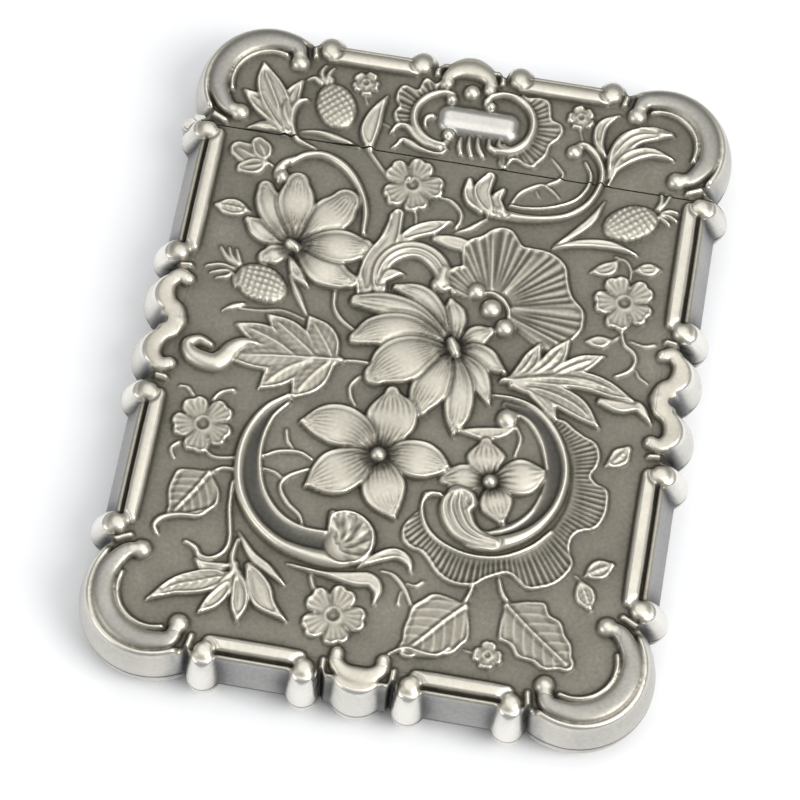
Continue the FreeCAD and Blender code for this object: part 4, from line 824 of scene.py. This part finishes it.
def collar(f, start, end):
    """A thin collar: a short raised line across the border."""
    f.cord((start, end), 0.45, 0.9)


def rod(f, start, end):
    """A flat-topped rod along an edge."""
    middle = ((start[0] + end[0]) / 2, (start[1] + end[1]) / 2)
    f.cord((start, middle, end), (0.95, 1.02, 1.02, 1.02, 0.95), 0.92, power=0.16)
    where, s, _, _ = f.near((start, middle, end), 1.0)
    f.dark[where] -= 0.12 * ease(0.95, 0.6, np.abs(s))


def side_bracket(f, side):
    """Two C-scrolls that meet in a knob in the middle of a long side."""
    scroll = ((31.1, 6.1), (32.3, 6.4), (33.5, 5.3), (33.7, 3.7), (33.1, 2.1), (32.0, 1.2), (31.6, 0.0))
    for up in (1, -1):
        f.cord([(side * x, up * y) for x, y in scroll], (0.9, 1.05, 1.25, 1.35, 1.4, 1.45, 1.5), 1.0,
               power=0.18)
        collar(f, (side * 31.2, up * 8.1), (side * 33.8, up * 7.8))
    f.ball(side * 31.3, 0.0, 1.3, 1.04, over=False)


def end_bracket(f, side):
    """One wide C-scroll in the middle of a short side."""
    scroll = arc(0.0, side * 41.2, 2.95, side * 2.15, -12, 192, 9)
    f.cord(scroll, (0.85, 0.95, 1.15, 1.3, 1.15, 0.95, 0.85), 1.0, power=0.22)
    for x in (-4.4, 4.4):
        collar(f, (x, side * 41.9), (x * 0.98, side * 43.9))


def corner_scroll(f, right, up):
    """The broad crescent round one corner, with the thin line inside it and a ball at each end."""
    cx = right * (CORNER[0] - 0.3)
    cy = up * (CORNER[1] - 0.1)
    f.cord(arc(cx, cy, right * 4.95, up * 4.95, -18, 108), 0.34, 0.82)
    balls = ((right * 29.3, up * 31.6), (right * 22.8, up * 40.4))
    line = [balls[0], (right * 31.2, up * 32.3)] + arc(cx, cy, right * 6.75, up * 6.75, -14, 104, 7)
    line += [(right * 23.4, up * 42.4), balls[1]]
    f.cord(line, (0.85, 1.15, 1.35, 1.45, 1.45, 1.45, 1.35, 1.15, 0.85), 1.04, power=0.24)
    where, s, _, _ = f.near(line, 1.6)
    f.polish[where] = np.maximum(f.polish[where], 0.45 * ease(1.3, 0.8, np.abs(s)))
    f.dark[where] += 0.45 * ease(1.4, 0.9, np.abs(s))
    for x, y in balls:
        f.ball(x, y, 1.3, 1.1, over=False)
    collar(f, (right * 31.0, up * 30.0), (right * 32.9, up * 30.9))
    collar(f, (right * 20.9, up * 41.7), (right * 21.3, up * 43.9))


def knob(f, x, y):
    """A round knob with a shallow dimple, in a ring of shadow."""
    where, rho, _ = f.polar(x, y - RAISED_SHIFT, 2.6)
    f.h[where] *= 1 - 0.35 * ridge(rho - 1.5, 0.25)
    f.ball(x, y - RAISED_SHIFT, 1.35, 1.1, over=False, dimple=0.1)
    f.dark[where] -= 0.1 * ease(1.3, 0.9, rho)


def face_relief(pitch):
    """The whole relief, and how bright each point of it is: painted shade in the hollows and round the foot
    of raised work, painted highlight on the crests, which are also rubbed bright.
    """
    f = Relief(pitch)
    for work in (lid_work, upper_work, crest_work, lower_work, border_work):
        work(f)
    f.h = blur(f.h, 0.1 / f.step)
    # crest and broad paint highlight on the crests and shade in the hollows and round raised work
    crest = f.h - blur(f.h, CREST_SHADING_REACH / f.step)
    broad = f.h - blur(f.h, SOFT_SHADING_REACH / f.step)
    f.tone = GROUND_TONE + RAISED_TONE * ease(0.05, 0.5, f.h) + HEIGHT_TONE * f.h
    f.tone = f.tone + SOFT_SHADING_TONE * broad + CREST_SHADING_TONE * crest - STAIN_AND_SHADE_TONE * blur(f.dark, 0.07 / f.step)
    f.polish = blur(f.polish, 0.15 / f.step)
    return f


# ------------------------------------------------------------------ the skin: relief, wall and rim as meshes
def read(f, field, x, y):
    """A field of the relief at any points, between its grid points."""
    u = np.clip((x + HALF_X) / f.step, 0, len(f.x) - 1.001)
    v = np.clip((y + HALF_Y) / (f.y[1] - f.y[0]), 0, len(f.y) - 1.001)
    i = u.astype(int)
    j = v.astype(int)
    u = u - i
    v = v - j
    low = field[j, i] * (1 - u) + field[j, i + 1] * u
    high = field[j + 1, i] * (1 - u) + field[j + 1, i + 1] * u
    return low * (1 - v) + high * v


def past_field(x, y):
    """How far a point lies outside the path where the flat grid hands over to the border ring."""
    ax = np.abs(x) - CORNER[0]
    ay = np.abs(y) - CORNER[1]
    rho = np.hypot(ax, ay)
    corner = rho - 1 / np.sqrt((ax / FIELD_X) ** 2 + (ay / FIELD_Y) ** 2 + 1e-12) * rho
    return np.where((ax > 0) & (ay > 0), corner, np.maximum(ax - FIELD_X, ay - FIELD_Y))


def outline_reach(start, way, level):
    """How far the skin, and the bare wall, reach along each ray; level is 0 at the middle, 1 at the top."""
    level = np.clip(level, 0.0, 1.0)
    lean = np.sin(pi / 2 * (1 - level)) ** 0.85
    sx, sy = np.abs(start).T
    wx, wy = np.abs(way).T
    reaches = []
    for wall, s, w, place, grooves in ((WALL_X, sx, wx, sy, SIDE_GROOVES), (WALL_Y, sy, wy, sx, END_GROOVES)):
        base = wall[0] + (wall[1] - wall[0]) * (1 - level) ** 1.15
        for at, half in grooves:
            base = base - GROOVE_DEPTH * np.exp(-((place - at) / half) ** 4)
        reaches.append(np.where(w > 0.999, base - s, NOWHERE))
    circles = [(*CORNER, *CORNER, *CORNER_R)]
    circles += [(top, at, middle, at, r0, r1) for at, top, middle, r0, r1 in SIDE_COLUMNS]
    circles += [(at, top, at, middle, r0, r1) for at, top, middle, r0, r1 in END_COLUMNS]
    for x0, y0, x1, y1, r0, r1 in circles:
        dx = x0 + (x1 - x0) * lean - sx
        dy = y0 + (y1 - y0) * lean - sy
        r = r0 + (r1 - r0) * lean
        aside = dx * wy - dy * wx
        reach = dx * wx + dy * wy + np.sqrt(np.maximum(r * r - aside * aside, 0.0))
        reaches.append(np.where(np.abs(aside) < r, reach, NOWHERE))
    reaches = np.array(reaches)
    most = reaches.max(axis=0)
    blended = most + COLUMN_BLEND * np.log(np.exp((reaches - most) / COLUMN_BLEND).sum(axis=0))
    return blended, reaches[:2].max(axis=0)


def ring_rays(y_low, y_high, pitch):
    """Rays from the field's edge outwards, in order round the part of the border between two heights."""
    rays = []

    def side(right, y0, y1):
        for y in np.linspace(y0, y1, int(abs(y1 - y0) / pitch) + 2):
            rays.append((right * (CORNER[0] + FIELD_X), y, right, 0.0))

    def corner(right, up, a0, a1):
        for a in np.linspace(a0, a1, int(CORNER_ARC / pitch))[1:-1]:
            c = cos(radians(a))
            s = sin(radians(a))
            r = 1 / np.hypot(c / FIELD_X, s / FIELD_Y)
            rays.append((right * (CORNER[0] + r * c), up * (CORNER[1] + r * s), right * c, up * s))

    def end(up, x0, x1):
        for x in np.linspace(x0, x1, int(abs(x1 - x0) / pitch) + 2):
            rays.append((x, up * (CORNER[1] + FIELD_Y), 0.0, up))

    up = 1 if y_high > CORNER[1] else -1
    seam = y_low if up > 0 else y_high
    side(up, seam, up * CORNER[1])
    corner(up, up, 0, 90)
    end(up, up * CORNER[0], -up * CORNER[0])
    corner(-up, up, 90, 0)
    side(-up, up * CORNER[1], seam)
    return np.array(rays)


def quads(rows, columns):
    """Faces of a grid of points stored row by row."""
    i = np.arange(rows - 1)[:, None] * columns + np.arange(columns - 1)
    return np.stack([i, i + 1, i + columns + 1, i + columns], axis=-1).reshape(-1, 4)


def field_grid(f, y_low, y_high, pitch):
    """The flat middle of the face, as a grid that stops just past the ring's inner edge."""
    reach = (CORNER[0] + FIELD_X + FIELD_OVERLAP, CORNER[1] + FIELD_Y + FIELD_OVERLAP)
    x = np.linspace(-reach[0], reach[0], int(2 * reach[0] / pitch) + 1)
    y0 = max(y_low, -reach[1])
    y1 = min(y_high, reach[1])
    y = np.linspace(y0, y1, int((y1 - y0) / pitch) + 1)
    gx, gy = np.meshgrid(x, y)
    past = past_field(gx, gy).ravel()
    gx = gx.ravel()
    gy = gy.ravel()
    # the edge dips just under the ring, then well under it
    z = GROUND_Z + read(f, f.h, gx, gy) - 0.02 * ease(0.12, 0.22, past) - 0.3 * ease(0.3, 0.5, past)
    faces = quads(len(y), len(x))
    faces = faces[(past[faces] < FIELD_END).any(axis=1)]
    return np.stack([gx, gy, z], axis=1), faces, read(f, f.tone, gx, gy), read(f, f.polish, gx, gy)


def border_ring(f, y_low, y_high, pitch):
    """The border outside the field, down to the middle line, and its two rows of points on the seam."""
    rays = ring_rays(y_low, y_high, pitch)
    start = rays[:, :2]
    way = rays[:, 2:]
    top_reach = outline_reach(start, way, np.full(len(rays), TOP_LEVEL))[0] - EDGE_ROUND
    rows = []
    count = int(RING_WIDTH / pitch)
    for k in range(count + 1):
        out = top_reach * k / count
        x, y = (start + way * out[:, None]).T
        z = GROUND_Z + read(f, f.h, x, y) - (RING_DIPS[k] if k < len(RING_DIPS) else 0.0)
        rows.append((x, y, z, read(f, f.tone, x, y), read(f, f.polish, x, y)))
    edge_z = rows[-1][2]
    wall_rows = int(WALL_HEIGHT / (WALL_STRETCH * pitch))
    for k in range(1, len(EDGE_ANGLES) + wall_rows + 1):
        if k <= len(EDGE_ANGLES):
            turn = radians(EDGE_ANGLES[k - 1])
            z = edge_z - EDGE_ROUND * (1 - cos(turn))
            inset = EDGE_ROUND - EDGE_ROUND * sin(turn)
        else:
            part = (k - len(EDGE_ANGLES)) / wall_rows
            z = (edge_z - EDGE_ROUND) * (1 - part) + MIDDLE * part
            inset = PARTING_INSET * ease(PARTING_REACH, 0.0, z - MIDDLE)
        level = (z - MIDDLE) / (THICKNESS - MIDDLE)
        reach, base = outline_reach(start, way, level)
        out = reach - inset
        x, y = (start + way * out[:, None]).T
        # painted highlight where the wall bulges out and on its top edge, painted shade in its hollows and
        # next to the middle line
        hollow = reach - blur(reach[:, None] * np.ones(2), 1.4 / pitch)[:, 0]
        tone = WALL_TONE + COLUMN_HIGHLIGHT_TONE * ease(0.1, 0.8, reach - base) + WALL_SHADING_TONE * hollow
        tone = tone - WALL_SHADING_TONE * ease(0.2, 0.0, z - MIDDLE) + TOP_EDGE_HIGHLIGHT_TONE * ease(0.75, 1.0, level)
        rows.append((x, y, z, tone, np.full(len(x), ease(0.0, 0.35, edge_z - z).mean())))
    x, y, z, tone, wall = (np.concatenate([row[i] for row in rows]) for i in range(5))
    columns = len(rays)
    seam = np.arange(len(rows)) * columns
    points = np.stack([x, y, z], axis=1)
    return points, quads(len(rows), columns)[:, ::-1], tone, wall, points[seam], points[seam + columns - 1]


def rim_strip(grid_row, first, last):
    """The cut edge on the seam plane, from the outer skin in to the mouth plate."""
    line = np.vstack([first[::-1], grid_row, last])
    inner = line.copy()
    inner[:, 0] = np.clip(inner[:, 0], -RIM_X, RIM_X)
    inner[:, 2] = np.minimum(inner[:, 2], RIM_Z)
    points = np.vstack([line, inner])
    return points, quads(2, len(line)), np.full(len(points), RIM_TONE), np.ones(len(points))


def clear_hinge(points, radius, half_height):
    """Pull the skin in round the hinge barrel."""
    across = radius ** 2 - (points[:, 1] - SEAM_Y) ** 2
    limit = HINGE_X + np.sqrt(np.maximum(across, 0.0))
    beside = (across > 0) & (points[:, 0] < 0) & (np.abs(points[:, 2] - MIDDLE) < half_height)
    points[:, 0] = np.where(beside, np.maximum(points[:, 0], limit), points[:, 0])


def skin(half, body, f, pitch, y_low, y_high, material):
    """One quarter of the outside: the front or back half, above or below the seam."""
    grid = field_grid(f, y_low, y_high, pitch)
    *ring, first, last = border_ring(f, y_low, y_high, pitch)
    seam_y = y_low if body == "lid" else y_high
    at_seam = grid[0][np.abs(grid[0][:, 1] - seam_y) < 1e-6]
    at_seam = at_seam[np.abs(at_seam[:, 0]) < CORNER[0] + FIELD_X]
    order = np.argsort(-at_seam[:, 0] if first[0, 0] > 0 else at_seam[:, 0])
    parts = (grid, ring, rim_strip(at_seam[order], first, last))
    offsets = np.cumsum([0] + [len(part[0]) for part in parts])
    points, tone, wall = (np.concatenate([part[i] for part in parts]) for i in (0, 2, 3))
    faces = np.vstack([part[1] + offset for part, offset in zip(parts, offsets)])
    if half == "back":
        points = points * (-1, 1, -1) + (0, 0, THICKNESS)
    clear_hinge(points, *(LID_ROOM if body == "lid" else BODY_ROOM))
    name = f"chased_{half}_{body}"
    mesh = bpy.data.meshes.new(name)
    mesh.vertices.add(len(points))
    mesh.vertices.foreach_set("co", (points * MM).ravel())
    mesh.loops.add(faces.size)
    mesh.loops.foreach_set("vertex_index", faces.ravel())
    mesh.polygons.add(len(faces))
    mesh.polygons.foreach_set("loop_start", np.arange(len(faces)) * 4)
    mesh.polygons.foreach_set("use_smooth", np.ones(len(faces), bool))
    for label, values in (("tone", tone), ("wall", wall)):
        mesh.attributes.new(label, "FLOAT", "POINT").data.foreach_set("value", values.astype(np.float32))
    mesh.update(calc_edges=True)
    mesh.validate()
    piece = bpy.data.objects.new(name, mesh)
    bpy.context.collection.objects.link(piece)
    mesh.materials.append(material)
    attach(piece, body)
    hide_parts(f"{body}_{half}_shell")


# ------------------------------------------------------------------ finishes
def grey(value, warmth=0.0):
    """A grey in linear light, leaning to olive as the warmth grows."""
    return (value * (1 + 0.9 * warmth), value, value * (1 - 2.2 * warmth), 1.0)


class Finish:
    """A node material, built one node at a time."""

    def __init__(self, name, metallic):
        self.material = bpy.data.materials.new(name)
        self.material.use_nodes = True
        self.nodes = self.material.node_tree.nodes
        self.links = self.material.node_tree.links
        self.shader = self.nodes["Principled BSDF"]
        self.shader.inputs["Metallic"].default_value = metallic

    def add(self, kind, values=(), **settings):
        """A node with its settings; values fill its inputs by place, and a socket there is linked."""
        node = self.nodes.new(kind)
        for key, value in settings.items():
            setattr(node, key, value)
        for place, value in values:
            if isinstance(value, bpy.types.NodeSocket):
                self.links.new(value, node.inputs[place])
            else:
                node.inputs[place].default_value = value
        return node

    def noise(self, size, detail):
        """Noise with lumps of the given size in millimetres."""
        place = self.add("ShaderNodeTexCoord").outputs["Object"]
        return self.add("ShaderNodeTexNoise", (("Vector", place), ("Scale", 1 / (size * MM)),
                                               ("Detail", detail))).outputs["Fac"]

    def lines(self, stretch, scale, detail):
        """Noise drawn out along the axes whose share of the stretch is small."""
        place = self.add("ShaderNodeTexCoord").outputs["Object"]
        drawn = self.add("ShaderNodeMapping", (("Vector", place), ("Scale", stretch))).outputs["Vector"]
        return self.add("ShaderNodeTexNoise", (("Vector", drawn), ("Scale", scale),
                                               ("Detail", detail))).outputs["Fac"]

    def ramp(self, value, stops):
        """Colour by value, between the stops."""
        node = self.add("ShaderNodeValToRGB", (("Fac", value),))
        elements = node.color_ramp.elements
        while len(elements) < len(stops):
            elements.new(0.5)
        for element, (place, colour) in zip(elements, stops):
            element.position = place
            element.color = colour
        return node.outputs["Color"]

    def sum(self, a, b, operation="ADD"):
        """Two values put together."""
        return self.add("ShaderNodeMath", ((0, a), (1, b)), operation=operation).outputs[0]

    def mapped(self, value, low, high, from_low=0.0, from_high=1.0):
        """A value moved from one range to another, and held inside it."""
        return self.add("ShaderNodeMapRange", (("Value", value), ("From Min", from_low),
                                               ("From Max", from_high), ("To Min", low),
                                               ("To Max", high))).outputs["Result"]

    def mix(self, factor, a, b):
        """One colour turning into another as the factor grows."""
        node = self.add("ShaderNodeMix", data_type="RGBA", blend_type="MIX")
        for socket, value in zip((node.inputs[0], node.inputs[6], node.inputs[7]), (factor, a, b)):
            self.links.new(value, socket)
        return node.outputs[2]

    def output(self, socket, value):
        """Feed one input of the shader."""
        self.links.new(value, self.shader.inputs[socket])

    def bump(self, height, depth, strength):
        """Fine unevenness, with its depth in millimetres."""
        node = self.add("ShaderNodeBump", (("Height", height), ("Distance", depth * MM),
                                           ("Strength", strength)))
        self.output("Normal", node.outputs["Normal"])


def chased_silver():
    """Worn silver: dark matt ground with a fine stipple, crests rubbed bright and painted brighter, and
    smoother, cooler walls; the tone attribute adds painted highlight and painted shade.
    """
    paint = Finish("chased_silver", 1.0)
    tone = paint.add("ShaderNodeAttribute", attribute_name="tone").outputs["Fac"]
    wall = paint.add("ShaderNodeAttribute", attribute_name="wall").outputs["Fac"]
    blotch = paint.mapped(paint.noise(9.0, 4.0), -0.09, 0.09)
    speck = paint.mapped(paint.noise(0.5, 2.0), -0.06, 0.06)
    value = paint.sum(paint.sum(tone, blotch), speck)
    # the face's colour by tone, which carries painted highlight and painted shade as well as tarnish
    worn_and_shaded = paint.ramp(value, ((0.0, grey(0.03, 0.1)), (0.18, grey(0.1, 0.09)), (0.34, grey(0.21, 0.085)),
                              (0.55, grey(0.45, 0.075)), (0.85, grey(0.82, 0.06))))
    smooth = paint.ramp(value, ((0.0, grey(0.04, 0.03)), (0.3, grey(0.17, 0.01)), (0.5, grey(0.35, 0.01)),
                                (0.6, grey(0.49, 0.04)), (0.85, grey(0.76, 0.03)), (1.0, grey(0.86, 0.04))))
    paint.output("Base Color", paint.mix(wall, worn_and_shaded, smooth))
    rough = paint.mapped(value, 0.58, 0.3, 0.2, 0.9)
    paint.output("Roughness", paint.sum(rough, paint.mapped(wall, 0.0, -0.08)))
    stipple = paint.sum(paint.noise(0.28, 1.0), paint.mapped(value, 1.0, 0.15, 0.25, 0.6), "MULTIPLY")
    paint.bump(stipple, 0.035, 0.6)
    return paint.material


def worked_silver(name, lines, cloud, share, stops, rough):
    """Silver with fine lines left by the tool and slight tarnish; lines and cloud are noise settings."""
    paint = Finish(name, 1.0)
    grain = paint.lines(*lines)
    mixed = paint.sum(paint.mapped(grain, 0.0, share), paint.mapped(paint.noise(*cloud), 0.0, 1.0 - share))
    paint.output("Base Color", paint.ramp(mixed, stops))
    paint.output("Roughness", paint.mapped(grain, *rough))
    paint.bump(grain, 0.01, 0.4)
    return paint.material


def drawn_silver():
    """Drawn sheet, with its lines along the tube."""
    return worked_silver("drawn_silver", ((1.0, 0.04, 1.0), 5000.0, 3.0), (8.0, 3.0), 0.5,
                         ((0.25, grey(0.4, 0.05)), (0.75, grey(0.72, 0.04))), (0.24, 0.42))


def turned_silver():
    """Turned tube, with rings across the barrel and more tarnish."""
    return worked_silver("turned_silver", ((0.05, 0.05, 1.0), 7000.0, 2.0), (1.5, 2.0), 0.4,
                         ((0.2, grey(0.25, 0.05)), (0.75, grey(0.66, 0.04))), (0.22, 0.4))


# ------------------------------------------------------------------ floor, light and camera
def add_stage():
    """A plain pale floor."""
    bpy.ops.mesh.primitive_plane_add(size=FLOOR_SIZE, location=(0, 0, CAD_BOX[0].z - FLOOR_GAP))
    floor = bpy.context.object
    floor.name = "floor"
    paint = Finish("pale_floor", 0.0)
    paint.shader.inputs["Base Color"].default_value = (FLOOR_GREY, FLOOR_GREY, FLOOR_GREY, 1.0)
    paint.shader.inputs["Roughness"].default_value = 0.9
    floor.data.materials.append(paint.material)


def direction(azimuth, elevation):
    """The way out from the case. Azimuth 0 is the front and 90 the right."""
    a = radians(azimuth)
    e = radians(elevation)
    return Vector((sin(a) * cos(e), -cos(a) * cos(e), sin(e)))


def add_light(name, azimuth, elevation, distance, size, power):
    """A square soft box that looks at the case."""
    data = bpy.data.lights.new(name, "AREA")
    data.size = size
    data.energy = power
    lamp = bpy.data.objects.new(name, data)
    bpy.context.collection.objects.link(lamp)
    lamp.location = direction(azimuth, elevation) * distance
    lamp.rotation_euler = lamp.location.to_track_quat("Z", "Y").to_euler()


def add_camera(azimuth, elevation, roll, distance, aim, lens):
    """The camera, rolled a little about its own line of sight."""
    data = bpy.data.cameras.new("camera")
    data.lens = lens
    data.clip_start = 0.01
    camera = bpy.data.objects.new("camera", data)
    bpy.context.collection.objects.link(camera)
    back = direction(azimuth, elevation)
    camera.location = Vector(aim) + back * distance
    tilt = back.to_track_quat("Z", "Y") @ Euler((0, 0, radians(roll))).to_quaternion()
    camera.rotation_euler = tilt.to_euler()
    bpy.context.scene.camera = camera


def add_world():
    """Even pale light from all round."""
    world = bpy.data.worlds.new("studio")
    world.use_nodes = True
    background = world.node_tree.nodes["Background"]
    background.inputs["Color"].default_value = SKY
    background.inputs["Strength"].default_value = SKY_STRENGTH
    bpy.context.scene.world = world


# ------------------------------------------------------------------ assembly
def build():
    """The skins and finishes on the frame, then floor, light and camera."""
    coarse = 1.0
    relief = face_relief(RELIEF_PITCH)
    silver = chased_silver()
    for half, pitch in (("front", FRONT_PITCH * coarse), ("back", BACK_PITCH * coarse)):
        skin(half, "body", relief, pitch, -HALF_Y, SEAM_Y - SEAM_GAP, silver)
        skin(half, "lid", relief, pitch, SEAM_Y + SEAM_GAP, HALF_Y, silver)
    drawn = drawn_silver()
    turned = turned_silver()
    for name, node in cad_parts.items():
        hinge_part = any(word in name for word in ("knuckle", "pin", "leaf"))
        node.data.materials.clear()
        node.data.materials.append(turned if hinge_part else drawn)
    add_stage()
    add_world()
    for light in LIGHTS:
        add_light(*light)
    add_camera(**VIEW)
    bpy.context.scene.view_settings.view_transform = "Standard"


build()
